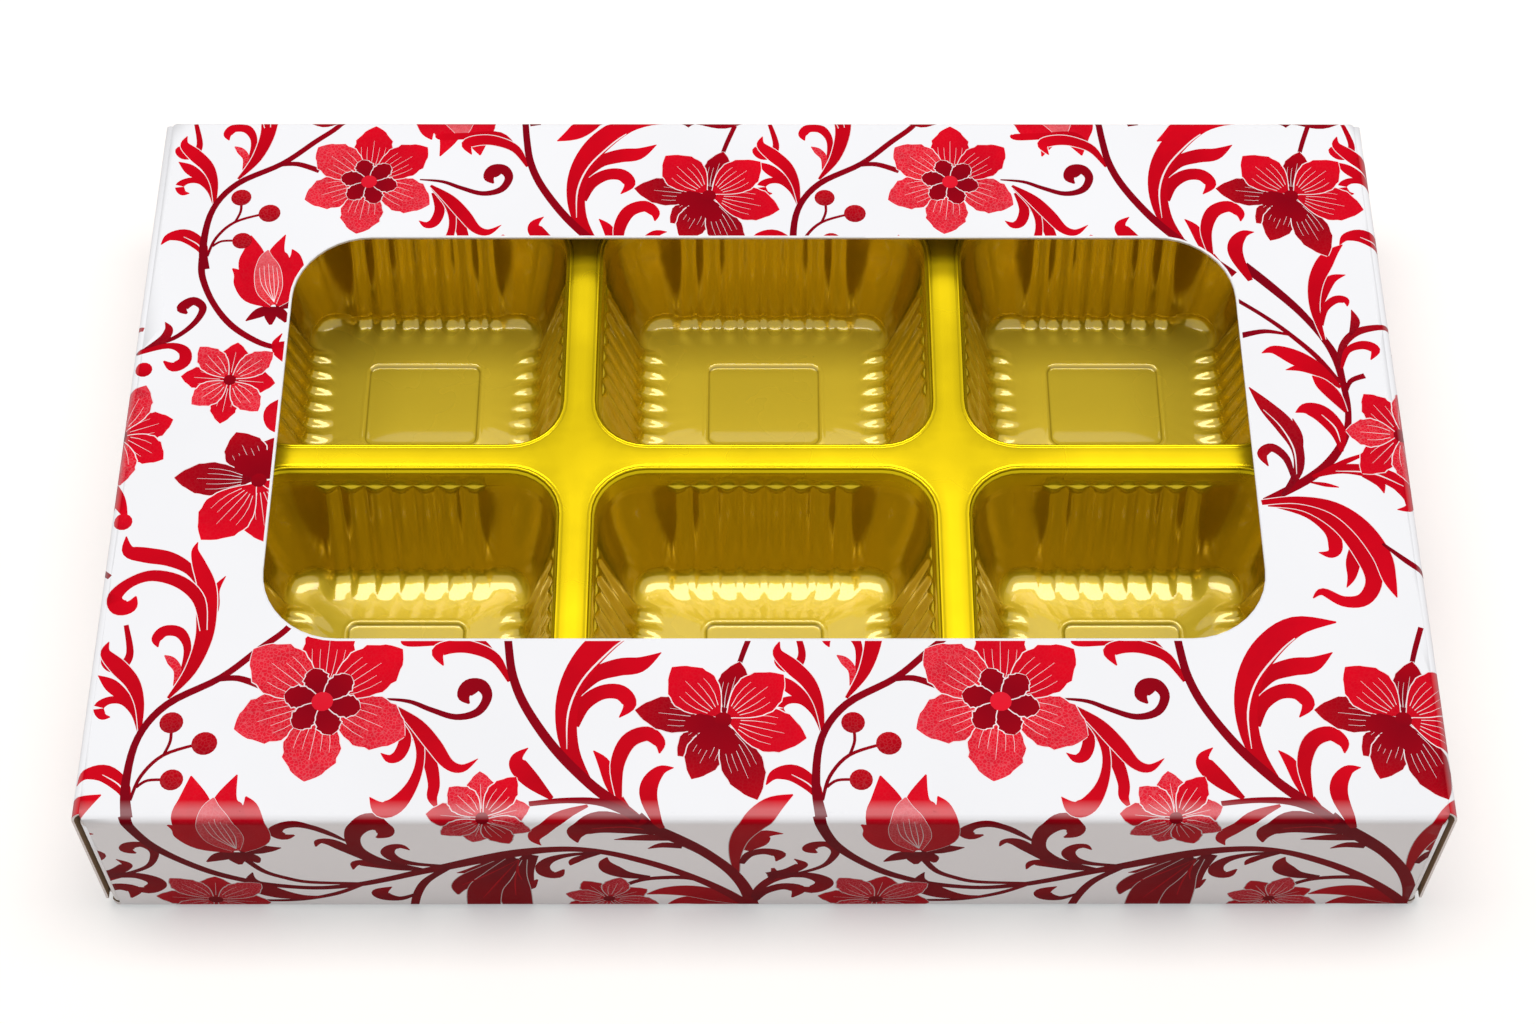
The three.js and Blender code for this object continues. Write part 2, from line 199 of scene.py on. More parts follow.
# The stage: lengths in metres, the camera's place in millimetres and its angles in degrees.
FLOOR_HALF = 3.0
FLOOR_GLOW = (0.8, 0.94, 1.0, 1.0)
FLOOR_LIFT = 0.31
LAMP_PLACE, LAMP_AIM, LAMP_SIZE = (0.0, 0.12, 1.10), (0.0, 0.12, 0.0), (1.3, 0.45)
SENSOR_WIDTH = 36.0
CAMERA_PLACE = (-1.15, -268.0, 439.6)
CAMERA_PITCH = 58.005
CAMERA_YAW = -0.392
CAMERA_ROLL = 0.329


class BoardSettings(bpy.types.PropertyGroup):
    """Folding boxboard of the carton."""
    thickness: bpy.props.FloatProperty(
        name="Board", description="Thickness of the board", default=0.4 * MM, unit="LENGTH", precision=5)
    fold_radius: bpy.props.FloatProperty(
        name="Fold Radius", description="Outer radius of the long folds and end creases", default=1.3 * MM,
        unit="LENGTH", precision=5)
    dust_fold: bpy.props.FloatProperty(
        name="Dust Fold", description="Outer radius of the upright dust-flap creases", default=1.0 * MM,
        unit="LENGTH", precision=5)
    tongue_fold: bpy.props.FloatProperty(
        name="Tongue Fold", description="Outer radius of the crease above the tongue", default=0.8 * MM,
        unit="LENGTH", precision=5)
    window_end: bpy.props.FloatProperty(
        name="Window End Margin", description="Board left at each end of the window", default=26 * MM,
        unit="LENGTH")
    window_front: bpy.props.FloatProperty(
        name="Window Front Margin", description="Board left in front of the window", default=32.6 * MM,
        unit="LENGTH")
    window_back: bpy.props.FloatProperty(
        name="Window Back Margin", description="Board left behind the window", default=26.4 * MM,
        unit="LENGTH")
    window_radius: bpy.props.FloatProperty(
        name="Window Corner", description="Corner radius of the window", default=13 * MM, unit="LENGTH")
    white: bpy.props.FloatVectorProperty(
        name="White", description="Coated outside of the board", default=(0.84, 0.84, 0.86), subtype="COLOR")
    inside: bpy.props.FloatVectorProperty(
        name="Inside", description="Uncoated inside of the board", default=(0.24, 0.15, 0.08),
        subtype="COLOR")
    cut: bpy.props.FloatVectorProperty(
        name="Cut Edge", description="Die-cut edge of the board", default=(0.86, 0.80, 0.77), subtype="COLOR")


class PrintSettings(bpy.types.PropertyGroup):
    """Floral scroll printed on the carton."""
    repeat_x: bpy.props.FloatProperty(
        name="Repeat Along", description="Repeat of the scroll along the box", default=108 * MM,
        unit="LENGTH")
    repeat_y: bpy.props.FloatProperty(
        name="Repeat Across", description="Repeat of the scroll across the box", default=105 * MM,
        unit="LENGTH")
    back_repeat: bpy.props.FloatProperty(
        name="Back Repeat", description="Repeat of the scroll along the back of the lid", default=103.6 * MM,
        unit="LENGTH")
    start_x: bpy.props.FloatProperty(
        name="Start Along", description="Large blossom nearest the front left corner", default=-70.4 * MM,
        unit="LENGTH")
    start_y: bpy.props.FloatProperty(
        name="Start Across", description="Large blossom nearest the front left corner", default=-48.9 * MM,
        unit="LENGTH")
    # Painted shade: the factor that darkens the inks on the walls.
    wall_ink_shade: bpy.props.FloatProperty(
        name="Wall Ink", description="Lightness of the inks on the walls against the lid", default=0.58,
        subtype="FACTOR")
    # Painted highlight: the inks beside a crease are paled to this coverage, also read as rubbed ink.
    crease_rub_highlight: bpy.props.FloatProperty(
        name="Crease Ink", description="Coverage of the inks beside a crease, where they are rubbed",
        default=0.84, subtype="FACTOR")
    petal: bpy.props.FloatVectorProperty(
        name="Petal", description="Bright red of the petals", default=(0.74, 0.002, 0.014), subtype="COLOR")
    rose: bpy.props.FloatVectorProperty(
        name="Rose", description="Lighter red of the engraved petals", default=(0.80, 0.022, 0.045),
        subtype="COLOR")
    leaf: bpy.props.FloatVectorProperty(
        name="Leaf", description="Red of the leaves", default=(0.58, 0.001, 0.007), subtype="COLOR")
    wine: bpy.props.FloatVectorProperty(
        name="Wine", description="Dark red of stems and throats", default=(0.20, 0.001, 0.007),
        subtype="COLOR")


class TraySettings(bpy.types.PropertyGroup):
    """Vacuum-formed cavity tray."""
    sheet: bpy.props.FloatProperty(
        name="Sheet", description="Thickness of the formed sheet", default=0.35 * MM,
        unit="LENGTH", precision=5)
    middle_width: bpy.props.FloatProperty(
        name="Middle Cavity", description="Width of the two middle cavities", default=57 * MM, unit="LENGTH")
    side_width: bpy.props.FloatProperty(
        name="Side Cavity", description="Width of the four side cavities", default=54 * MM, unit="LENGTH")
    cavity_length: bpy.props.FloatProperty(
        name="Cavity Length", description="Front to back size of a cavity", default=48.5 * MM, unit="LENGTH")
    column_pitch: bpy.props.FloatProperty(
        name="Column Pitch", description="Between the middles of columns", default=62.1 * MM, unit="LENGTH")
    row_pitch: bpy.props.FloatProperty(
        name="Row Pitch", description="Between the middles of rows", default=54.5 * MM, unit="LENGTH")
    flute_depth: bpy.props.FloatProperty(
        name="Flute Depth", description="Depth of the flutes in the cavity walls", default=0.8 * MM,
        unit="LENGTH", precision=5)
    gold: bpy.props.FloatVectorProperty(
        name="Gold", description="Metallised face of the sheet", default=(0.80, 0.585, 0.006),
        subtype="COLOR")


class StageSettings(bpy.types.PropertyGroup):
    """Floor, light and camera."""
    floor: bpy.props.FloatVectorProperty(
        name="Floor", description="Plain pale floor", default=(0.78, 0.70, 0.65), subtype="COLOR")
    key_power: bpy.props.FloatProperty(
        name="Key Lamp", description="Power of the overhead softbox", default=9.6, unit="POWER")
    sky: bpy.props.FloatProperty(
        name="Surround", description="Strength of the even surround light", default=0.46)
    lens: bpy.props.FloatProperty(
        name="Lens", description="Focal length on a sensor 36 mm wide", default=67.98, unit="CAMERA")


class ChocolateBoxSettings(bpy.types.PropertyGroup):
    """All settings of the chocolate box."""
    board: bpy.props.PointerProperty(type=BoardSettings)
    scroll: bpy.props.PointerProperty(type=PrintSettings)
    tray: bpy.props.PointerProperty(type=TraySettings)
    stage: bpy.props.PointerProperty(type=StageSettings)


def settings():
    """Settings of the chocolate box in the scene."""
    return bpy.context.scene.chocolate_box


def between(a, b, share):
    """Values part of the way from a to b."""
    return tuple(x + (y - x) * share for x, y in zip(a, b))


def twice_area(a, b, c):
    """Twice the area of a triangle, positive where it runs counter-clockwise."""
    return (b[0] - a[0]) * (c[1] - a[1]) - (b[1] - a[1]) * (c[0] - a[0])


def covers(corners, point):
    """Whether a convex patch holds a point."""
    return all(twice_area(a, b, point) > -1e-9 for a, b in zip(corners, corners[1:] + corners[:1]))


class Scroll:
    """Draws the floral scroll as flat patches, each with an ink at its foot and one at its tip.

    A patch is (corners counter-clockwise, foot ink, tip ink, foot point, tip point, engraving), in
    millimetres on the unfolded lid. Later patches lie on top. Headings are in degrees.
    """

    def __init__(self, inks):
        petal, rose, leaf, wine = (tuple(ink) for ink in inks)
        self.inks = {
            "petal": (between(wine, petal, 0.7), petal, 0.35),
            "rose": (petal, rose, 1.0),
            "blush": (petal, between(rose, PAPER_INK, 0.14), 1.0),
            "wine": (wine, between(wine, leaf, 0.7), 0.35),
            "heart": (between(wine, leaf, 0.1), between(wine, leaf, 0.3), 0.2),
            "disc": (between(petal, rose, 0.4), between(petal, rose, 0.6), 0.1),
            "stem": (wine, between(wine, leaf, 0.3), 0.1),
            "leaf": (between(wine, leaf, 0.75), between(leaf, petal, 0.75), 0.3),
            "dusk": (wine, between(wine, leaf, 0.6), 0.2),
            "berry": (between(wine, leaf, 0.4), between(wine, leaf, 0.8), 0.5),
            "vein": (PAPER_INK, PAPER_INK, 0.0),
        }
        self.patches = []
        self.press = 1.0

    def patch(self, corners, foot, tip, start, end, engraving):
        """Adds a patch, cut into triangles where a tight curve folds it over."""
        if all(twice_area(corners[i], corners[(i + 1) % 4], corners[(i + 2) % 4]) > 1e-4 for i in range(4)):
            self.patches.append((corners, foot, tip, start, end, engraving))
            return
        for triangle in ((corners[0], corners[1], corners[2]), (corners[0], corners[2], corners[3])):
            area = twice_area(*triangle)
            if abs(area) > 1e-3:
                ordered = list(triangle) if area > 0 else list(triangle)[::-1]
                self.patches.append((ordered, foot, tip, start, end, engraving))

    def ribbon(self, points, widths, ink):
        """A band of the given widths along points."""
        low, high, engraving = self.inks[ink]
        last = len(points) - 1
        rims = []
        for i, (x, y) in enumerate(points):
            ax, ay = points[max(i - 1, 0)]
            bx, by = points[min(i + 1, last)]
            size = hypot(bx - ax, by - ay) or 1.0
            nx, ny = -(by - ay) / size * widths[i] / 2, (bx - ax) / size * widths[i] / 2
            rims.append(((x + nx, y + ny), (x - nx, y - ny)))
        for i in range(last):
            (left, right), (next_left, next_right) = rims[i], rims[i + 1]
            self.patch([right, next_right, next_left, left],
                       between(low, high, i / last), between(low, high, (i + 1) / last),
                       points[i], points[i + 1], engraving)

    def stroke(self, ink, *knots, edge=0.0, steps=5):
        """A brush stroke that swells and curls through knots of (x, y, width), edged in white if asked."""
        path = []
        padded = [knots[0], *knots, knots[-1]]
        for near in zip(padded, padded[1:], padded[2:], padded[3:]):
            for step in range(steps):
                t = step / steps
                path.append([
                    b + (c - a) * t / 2 + (2 * a - 5 * b + 4 * c - d) * t ** 2 / 2
                    + (3 * b - a - 3 * c + d) * t ** 3 / 2
                    for a, b, c, d in zip(*near)])
        path.append(knots[-1])
        points = [(x, y) for x, y, _ in path]
        widths = [max(width * self.press, FINEST_LINE) for _, _, width in path]
        if edge:
            self.ribbon(points, [width + edge for width in widths], "vein")
        self.ribbon(points, widths, ink)

    def disc(self, x, y, radius, ink, sides=14):
        """A round dot, for berries and eyes."""
        low, high, engraving = self.inks[ink]
        rim = [(x + radius * cos(2 * pi * i / sides), y + radius * sin(2 * pi * i / sides))
               for i in range(sides)]
        self.patches.append((rim, low, high, (x, y - radius), (x, y + radius), engraving))

    def petal(self, x, y, heading, reach, wide, ink, veins=3, start=0.05, blunt=0.86, ruffle=0.06,
              edge=0.36):
        """A petal with a narrow foot and a ruffled point, fine pale veins and a pale line round it."""
        along = (cos(radians(heading)), sin(radians(heading)))
        peak = PETAL_FOOT / (PETAL_FOOT + blunt)
        full = peak ** PETAL_FOOT * (1 - peak) ** blunt
        points, widths = [], []
        for i in range(PETAL_STEPS + 1):
            share = 1 - (1 - i / PETAL_STEPS) ** TIP_CROWDING
            out = reach * (start + (1 - start) * share)
            points.append((x + along[0] * out, y + along[1] * out))
            wave = 1 + ruffle * cos(share * RUFFLES * pi) * min(max((share - 0.35) * 4, 0), 1)
            widths.append(max(wide * wave * share ** PETAL_FOOT * (1 - share) ** blunt / full, 0.1))
        if edge:
            self.ribbon(points, [width + edge for width in widths], "vein")
        self.ribbon(points, widths, ink)
        for vein in range(veins):
            offset = (vein - (veins - 1) / 2) * VEIN_SPREAD / max(veins, 3)
            stop = PETAL_STEPS - (5 if abs(offset) < 0.1 else 7)
            line = [(points[i][0] - along[1] * widths[i] * offset,
                     points[i][1] + along[0] * widths[i] * offset) for i in range(2, stop, 2)]
            last = len(line) - 1
            self.ribbon(line, [VEIN_WIDTH - VEIN_TAPER * i / last for i in range(last + 1)], "vein")

    def large_blossom(self):
        """The six-petalled blossom, with an outlined dark star about its eye."""
        radius = 14.6
        for heading, reach, wide, ink in (
                (88, 1.06, .58, "petal"), (200, .99, .60, "rose"), (335, 1.02, .64, "rose"),
                (141, 1.04, .64, "rose"), (263, .98, .62, "rose"), (38, 1.06, .60, "petal")):
            self.petal(0, 0, heading, radius * reach, radius * wide, ink, veins=5)
        for k in range(6):
            self.petal(0, 0, 108 + 60 * k, radius * 0.43, radius * 0.27, "heart", veins=0, start=0.0,
                       blunt=0.7, ruffle=0.1, edge=0.4)
        self.disc(0, 0, radius * 0.12, "disc")

    def small_blossom(self, x, y, radius, heading, inks, count=8):
        """A ring of pointed petals about a small dark eye."""
        for k in [*range(0, count, 2), *range(1, count, 2)]:
            reach = radius * (1 + 0.07 * ((k * 2) % 3 - 1))
            self.petal(x, y, heading + 360 * k / count, reach, radius * 0.56, inks[k % len(inks)], blunt=0.95)
        self.disc(x, y, radius * 0.13, "heart")

    def side_blossom(self, x, y, radius, petals, throat):
        """A blossom turned aside: petals of (heading, reach, width, ink) about a dark throat."""
        for heading, reach, wide, ink in petals:
            self.petal(x, y, heading, radius * reach, radius * wide * 1.14, ink, veins=5, blunt=0.95,
                       ruffle=0.04)
        for heading in (throat - 50, throat - 5, throat + 40):
            self.petal(x, y, heading, radius * 0.5, radius * 0.28, "heart", veins=0, start=0.0, blunt=0.6,
                       ruffle=0.1, edge=0)
        self.disc(x, y, radius * 0.11, "heart", 10)

    def bud(self, x, y, scale):
        """A half-open bud above its cup of sepals at x, y."""
        def draw(ink, *knots, edge=0.0):
            """A stroke in the bud's own scale and place."""
            placed = [(x + scale * kx, y + scale * ky, scale * width) for kx, ky, width in knots]
            self.stroke(ink, *placed, edge=edge)

        draw("stem", (.5, 0, 1.6), (3.4, 1, 2.8), (5.4, 1.2, 1.8), (7.2, 1.6, .2))
        draw("stem", (-.5, -.5, 2), (-3, -1.7, 2.4), (-5.4, -3.6, .3))
        draw("stem", (.6, -.6, 2.2), (2.2, -2.4, 2.2), (2.8, -4, .4))
        draw("stem", (-.4, 0, 3), (-.4, -2.4, 2.6), (-.2, -4.6, .6))
        draw("petal", (-.5, .2, 1), (-4.8, 2.6, 3.4), (-6.8, 6.2, 4), (-8, 8.4, 2.2), (-9.4, 9.8, .3))
        draw("petal", (.5, .4, 1.5), (2.8, 4.5, 5), (3.3, 9.5, 4.6), (3.4, 12.8, 2.4), (2.6, 14.8, .2),
             edge=.16)
        draw("petal", (0, .5, 1.5), (.2, 6, 6), (-.2, 12, 5), (-.4, 14.6, 3), (.9, 18.6, .2))
        draw("petal", (-.2, .5, 1.5), (-3, 5.6, 6.4), (-5.1, 11, 6.4), (-5.6, 14.6, 4), (-6.3, 18.4, .2))
        draw("blush", (-.1, .5, 1.2), (-1.2, 4.2, 5.2), (-2, 9, 5.4), (-2.6, 12.4, 3), (-2.4, 14.6, .2),
             edge=.16)
        for k in range(5):
            draw("vein", (0, 1.2, .12), (-2.9 + .85 * k, 5.5, .1), (-3.8 + .9 * k, 11 - .5 * abs(k - 2), .05))

    def berries(self):
        """Three berries on a forked twig."""
        self.stroke("stem", (-28.6, -17.5, .5), (-27.4, -13.3, .6), (-24.3, -9.6, .6), (-19, -7.6, .5))
        self.stroke("stem", (-24.2, -9.5, .5), (-23.4, -7, .5), (-23.6, -4, .5))
        self.stroke("stem", (-27.9, -15.2, .5), (-26.2, -14, .5), (-23, -13.9, .5))
        self.disc(-18, -7.5, 2.05, "berry", 18)
        self.disc(-23.6, -3.8, 1.9, "berry", 18)
        self.disc(-22.5, -13.9, 1.85, "berry", 18)

    def tall_leaf(self):
        """The leaf that rises beside the stem and curls over."""
        self.stroke("leaf", (-24, 1.8, .4), (-22.7, 6, .9), (-22.5, 10, 1.3), (-24, 12.6, 1.9),
                    (-26.4, 12.9, 2), (-27.6, 11.4, 1.7), (-27.2, 9.9, .2))
        self.stroke("rose", (-23.9, 2.8, .3), (-23.6, 5.6, 1.3), (-24.8, 7.4, 1.5), (-26, 8.4, .2))
        self.stroke("leaf", (-20.6, 20, 1), (-23.4, 24.2, 1.8), (-27, 26.4, 2.7), (-31, 27.2, 2.9),
                    (-34, 28, 2.2), (-34.7, 30.8, .2))
        self.stroke("leaf", (-20, 12, 1.2), (-19, 17, 1.8), (-19, 20.5, 1.4), (-17.6, 23.2, .15))
        self.stroke("leaf", (-24.6, .6, .5), (-21.6, 5.5, 1.9), (-20, 11.5, 2.8), (-20.1, 17, 3.4),
                    (-20.6, 21.5, 3), (-22.2, 25.5, 2.2), (-23.1, 28, 1.2), (-22.8, 29.7, .15), edge=.3)
        self.stroke("leaf", (-20.2, 13, 1), (-21.5, 18.6, 2), (-24.8, 22, 2.3), (-29.4, 23.3, 2.1),
                    (-33, 22, 1.9), (-35.2, 19.4, 2.4), (-34.4, 17.4, 3), (-32.5, 17.6, 2.4),
                    (-31.8, 19.4, .3), edge=.3)

    def edge_leaves(self):
        """The leaves on the outer side of the stem."""
        self.stroke("leaf", (-29.3, -2.5, .5), (-31.4, .6, 1.8), (-34, 3, 2.2), (-36.2, 4.7, .15))
        self.stroke("leaf", (-28.6, -5.5, .4), (-29.6, -2.2, 1.1), (-31.6, 0, 1.3), (-33.9, .2, 1.4),
                    (-35.4, -1, 1.7), (-34.7, -2.6, 1.4), (-33.4, -2.8, .2))
        self.stroke("leaf", (-28.4, -5.5, .5), (-29, -.5, 1.5), (-30.6, 3.4, 2.4), (-33.2, 6.3, 2.7),
                    (-35.5, 8.8, 1.7), (-35.2, 10.9, .15), edge=.25)
        self.stroke("leaf", (-28.8, -18.2, .5), (-30, -15.2, 2.4), (-33, -12.8, 3), (-36, -13, 1.8),
                    (-37.4, -14.8, .2))
        self.stroke("vein", (-29.2, -16.6, .1), (-30.8, -14.6, .22), (-33.4, -13, .1))

    def plume(self):
        """The large plume of leaves between the blossoms, on the stem from the window to the front fold."""
        self.stroke("leaf", (27.5, 7.5, .8), (24, 11.2, 1.5), (18, 11, 1.6), (13, 10.8, 1.6),
                    (11.9, 11.3, .4))
        self.stroke("leaf", (29.6, 3.6, .6), (27.2, 7.8, 1.7), (23.6, 9.7, 2.2), (20.4, 10, 2.4),
                    (17.9, 9, 2.2), (18.9, 6.5, .2), edge=.3)
        self.stroke("leaf", (40.8, 1.5, 1.2), (43.4, 4.8, 2.6), (47, 6.2, 3.2), (50.4, 6.7, 2.8),
                    (53.8, 8.9, .15))
        self.stroke("leaf", (40.4, -4.5, 1.2), (41.6, -.6, 2.4), (44.4, 1.6, 2.6), (47.4, 1.6, 2.7),
                    (48.9, -.6, 2.2), (47.3, -2.9, .2))
        self.stroke("leaf", (43.4, -15.2, .8), (39.9, -9, 2.7), (38.9, -2, 3.6), (40.2, 4.5, 4.2),
                    (43.6, 10, 4.6), (48.5, 13.8, 3.6), (55, 14.5, .3))
        self.stroke("vein", (39.2, -8.5, .1), (39.2, -2, .32), (41.2, 3.8, .32), (45.4, 9.1, .3),
                    (48, 11.5, .2))
        self.stroke("leaf", (49.4, -19.5, .8), (46.6, -15.4, 1.7), (45.2, -11.2, 2), (43.4, -8.8, .2))
        self.stroke("leaf", (47.6, -17, 1), (47.2, -11.5, 2.2), (48.8, -7.2, 2.7), (51.8, -5.8, 2.6),
                    (53.8, -7.4, 1.9), (53.8, -9.3, .2), edge=.25)
        self.stroke("leaf", (54.4, -23, 1), (52.4, -17.6, 2.6), (52.4, -14.6, 2.8), (54, -12.3, 1.8),
                    (56.1, -11.8, .15))
        self.stroke("stem", (28.6, 16, 1.2), (29.2, 10, 1.3), (30.2, 4.3, 1.4), (32.6, -1.4, 1.5),
                    (37.4, -8.6, 1.6), (43.2, -14.8, 1.7), (48.4, -19, 1.9), (51.4, -21.8, 2))
        self.stroke("stem", (51, -20.8, 1.2), (45.4, -18, 1.3), (39.7, -17.5, 1), (33.6, -18.1, .9))
        self.stroke("leaf", (37.2, -17.2, .7), (34, -14.2, 2.7), (31.8, -11.6, 3), (31.5, -9.9, 1.8),
                    (33.1, -8.3, .15))
        self.stroke("leaf", (42.8, -18.4, .5), (38.2, -20.6, 2.2), (35.2, -24.2, 3), (34.2, -27, 1.8),
                    (35.1, -29.2, .15))

    def lid_group(self):
        """Repeat of the lid, about the large blossom."""
        self.tall_leaf()
        self.edge_leaves()
        self.berries()
        self.stroke("stem", (-28.8, -20.5, 1.9), (-29.6, -14.5, 1.4), (-28.6, -6.5, 1.2), (-24.6, -.5, 1.3),
                    (-16.6, 4.3, 1.2), (-10.8, 9.6, 1.15), (-7, 13, 1.1), (-4.6, 16.5, 1.1))
        self.stroke("stem", (-17.5, 3.9, .8), (-13.8, 4.2, 1.1), (-9.5, 2.6, 1.2))
        self.plume()
        # beside the large blossom
        self.stroke("stem", (9.5, .5, .3), (13.8, 0, .7), (17.4, -1.5, .9), (21.4, -2.8, 1.1),
                    (24.8, -1.9, 1.4), (26.2, .8, 1.6), (25.2, 2.8, 2.2), (23.4, 2.6, 3), (22.5, 1, 2.2),
                    (23.4, -.4, .3))
        self.stroke("leaf", (12.2, -2.6, .8), (13.6, -6.4, 1.9), (12.9, -9.4, 2), (11.4, -10.2, 1.5),
                    (9.9, -9.2, .1))
        self.stroke("leaf", (15, -6.5, .8), (17.6, -10.5, 2.1), (18.6, -14.5, 1.9), (18.5, -17, 1.6),
                    (19.5, -19.1, .1))
        self.stroke("leaf", (12, -1.6, .6), (15.2, -5.5, 1.5), (16.2, -10, 1.3), (15.3, -14.6, 1.8),
                    (12.9, -18.3, 2.9), (10.5, -18.9, 2.6), (8.7, -16.9, .1), edge=.25)
        self.stroke("leaf", (11.6, -.9, .5), (15.3, -4.2, 2.2), (18.2, -7.8, 2.5), (20.6, -11.1, 1.9),
                    (22.9, -11.9, 1.4), (25.3, -10.2, .1), edge=.25)
        # beside the turned blossom
        self.stroke("stem", (66.2, 6.4, .8), (67.2, 9.6, .9), (68.6, 13.5, .9))
        self.stroke("leaf", (75.2, 14, .8), (76.4, 9, 1.2), (75.6, 6.6, 1.6), (73.8, 6.2, 1.8),
                    (72.7, 7.6, 1.6), (74, 8.6, .3))
        self.small_blossom(26.4, -20.6, 8.2, 15, ("rose", "petal", "rose"), 9)

    def turned_group(self):
        """The turned blossom on the lid, right of the large one."""
        self.side_blossom(63.8, -3.3, 12.6, (
            (76, .86, .36, "dusk"), (300, .62, .34, "wine"), (222, .76, .36, "wine"), (245, .92, .42, "wine"),
            (173, 1.12, .45, "wine"), (291, 1.2, .46, "wine"), (131, 1.0, .56, "petal"),
            (346, 1.08, .54, "petal"), (40, 1.0, .52, "petal")), 240)

    def side_group(self):
        """Repeat beside the window, about the large blossom in front of it."""
        # at the left end
        self.stroke("stem", (-28, 88, 1.3), (-27.6, 84, 1.2), (-25.2, 78.4, 1.1), (-21.4, 73.4, 1.2),
                    (-16.2, 69.8, 1.1), (-12, 68.6, 1))
        self.stroke("leaf", (-12, 69, 2.4), (-13.6, 69.6, 1.4), (-12.6, 71.8, .2))
        self.stroke("leaf", (-14, 69.4, .4), (-13, 68, 1.8), (-11, 66, 1.6))
        self.stroke("stem", (-37.4, 67.5, .6), (-34, 69.4, .8), (-30.6, 71.2, .9), (-27.8, 74.2, 1.1),
                    (-26.8, 77.2, 1.4), (-28.6, 78.7, 1.8), (-30.4, 77.2, 2), (-29.4, 76, .4))
        self.stroke("wine", (-36, 68.3, .6), (-33, 70.6, 1.6), (-32.2, 72.6, 1.5), (-33, 74.2, .15))
        self.stroke("leaf", (-37, 67.6, .8), (-32, 69.2, 1.2), (-29.2, 68.2, 2), (-28.8, 66, 2.2),
                    (-30.6, 64.8, 2), (-32.4, 66, .3))
        self.stroke("petal", (-10.5, 58.6, .5), (-13, 56, 2.2), (-12.6, 53, 2.2), (-10.5, 51, .5))
        self.disc(-35.6, 64.2, 1.5, "leaf")
        self.disc(-35.6, 33.6, 1.6, "petal")
        # at the right end
        self.stroke("stem", (46.4, 86.4, 1.9), (50.2, 82.4, 1.8), (55, 76.8, 1.5), (58.4, 71.4, 1.2),
                    (60.4, 66.8, 1.5), (61.1, 61.6, 1.2), (61.4, 56, 1.1), (60.4, 50.7, 1.3),
                    (57.2, 45.5, 1.6), (52.6, 41.6, 1.6), (45.6, 37.6, 1.4))
        self.stroke("stem", (44.5, 79, .8), (48.7, 75.7, .8), (52.6, 72.1, .9), (57.2, 66.9, 1),
                    (60.6, 61.4, .9))
        self.stroke("stem", (44.6, 71.4, 1.2), (48.8, 72.3, .9), (52.8, 71.6, .5))
        self.stroke("leaf", (58.4, 76, .5), (59.6, 80.4, 2), (61.4, 83.4, 1.8), (64, 84.4, .15))
        self.stroke("leaf", (58.8, 70.5, .6), (57.9, 77, 1.7), (58.6, 82.6, 2.6), (60.6, 87, 3),
                    (62.4, 89.4, 1.8), (64.2, 91, .15), edge=.25)
        self.stroke("leaf", (58.8, 73.5, .5), (59.6, 77, 1.3), (61.6, 79, 1.6), (63.4, 78.9, 1.4),
                    (63.6, 77.6, .2))
        self.stroke("wine", (60.8, 64.5, .8), (61.8, 69, 1.3), (64.4, 72, 1.5), (68.4, 73.1, 1.2),
                    (71.5, 72.6, .8))
        self.stroke("wine", (63.4, 71.5, .5), (64.6, 74.2, 1.7), (64.2, 76.9, .15))
        self.stroke("leaf", (61.2, 64.5, .5), (62.6, 68.2, 1.2), (65.4, 69.4, 1.8), (67.4, 68.4, 1.8),
                    (66.4, 66.3, .2))
        self.stroke("stem", (61.2, 58.8, .5), (62.4, 61.8, .9), (65, 63, 1.1))
        self.stroke("leaf", (58, 63, 1), (54.6, 64.6, 1.6), (51.6, 64.2, .15))
        self.stroke("leaf", (60.6, 60.5, .6), (57, 64.4, 2.6), (53.4, 66.8, 3.2), (50, 68.4, 1.8),
                    (47.8, 67.7, .15))
        self.stroke("leaf", (61, 55.5, .6), (59.4, 58.8, 2.4), (57.4, 61.4, 2.2), (56, 63, .2), edge=.25)
        self.stroke("leaf", (59.4, 47.5, .6), (59.2, 51.5, 2.8), (57, 55, 3.4), (54.4, 56.2, 2.4),
                    (52.4, 55.4, .15))
        self.stroke("vein", (59.4, 49.5, .1), (58.8, 52.4, .25), (56.8, 55, .1))
        self.stroke("wine", (52.3, 46, .6), (52.6, 50.5, 1.2), (51.8, 54.2, .2))
        self.stroke("wine", (48.6, 38.8, .6), (51.6, 43.4, 1.6), (52, 48, 2.2), (50.4, 52.6, 3.4),
                    (47.6, 56.6, 2.6), (45, 60.6, .2))
        self.stroke("vein", (51.4, 43, .1), (51.4, 48, .28), (49.6, 52.6, .2), (47, 56, .1))
        self.stroke("wine", (50.8, 41.5, .5), (50, 46, 1.3), (47.8, 48.3, 1.7), (46, 47, 1.8),
                    (46.8, 44.6, .2))
        self.stroke("leaf", (56, 43.6, .6), (60, 45.6, 1), (64.2, 47.4, .3))
        self.stroke("leaf", (62.5, 43, 1.2), (65, 41.5, 1.8), (65.6, 39.2, .15))
        self.stroke("leaf", (67.5, 41, 1.5), (69.6, 38.5, 2), (69.5, 36.4, 1.6), (67.4, 36, .15))
        self.stroke("leaf", (54, 42.5, .6), (59, 44, 1.8), (64, 43.4, 2.6), (68, 41.4, 3), (71, 38, 2.6),
                    (73, 34, .4))
        self.stroke("vein", (58, 43.6, .1), (64, 43.2, .28), (69, 40.6, .1))
        self.stroke("leaf", (53.5, 41.4, .3), (56, 40.9, .8), (58.2, 40.4, .2))
        self.stroke("leaf", (60, 30, 1.5), (59, 26, 2.4), (58.4, 23, 1.4), (57.4, 21, .15))
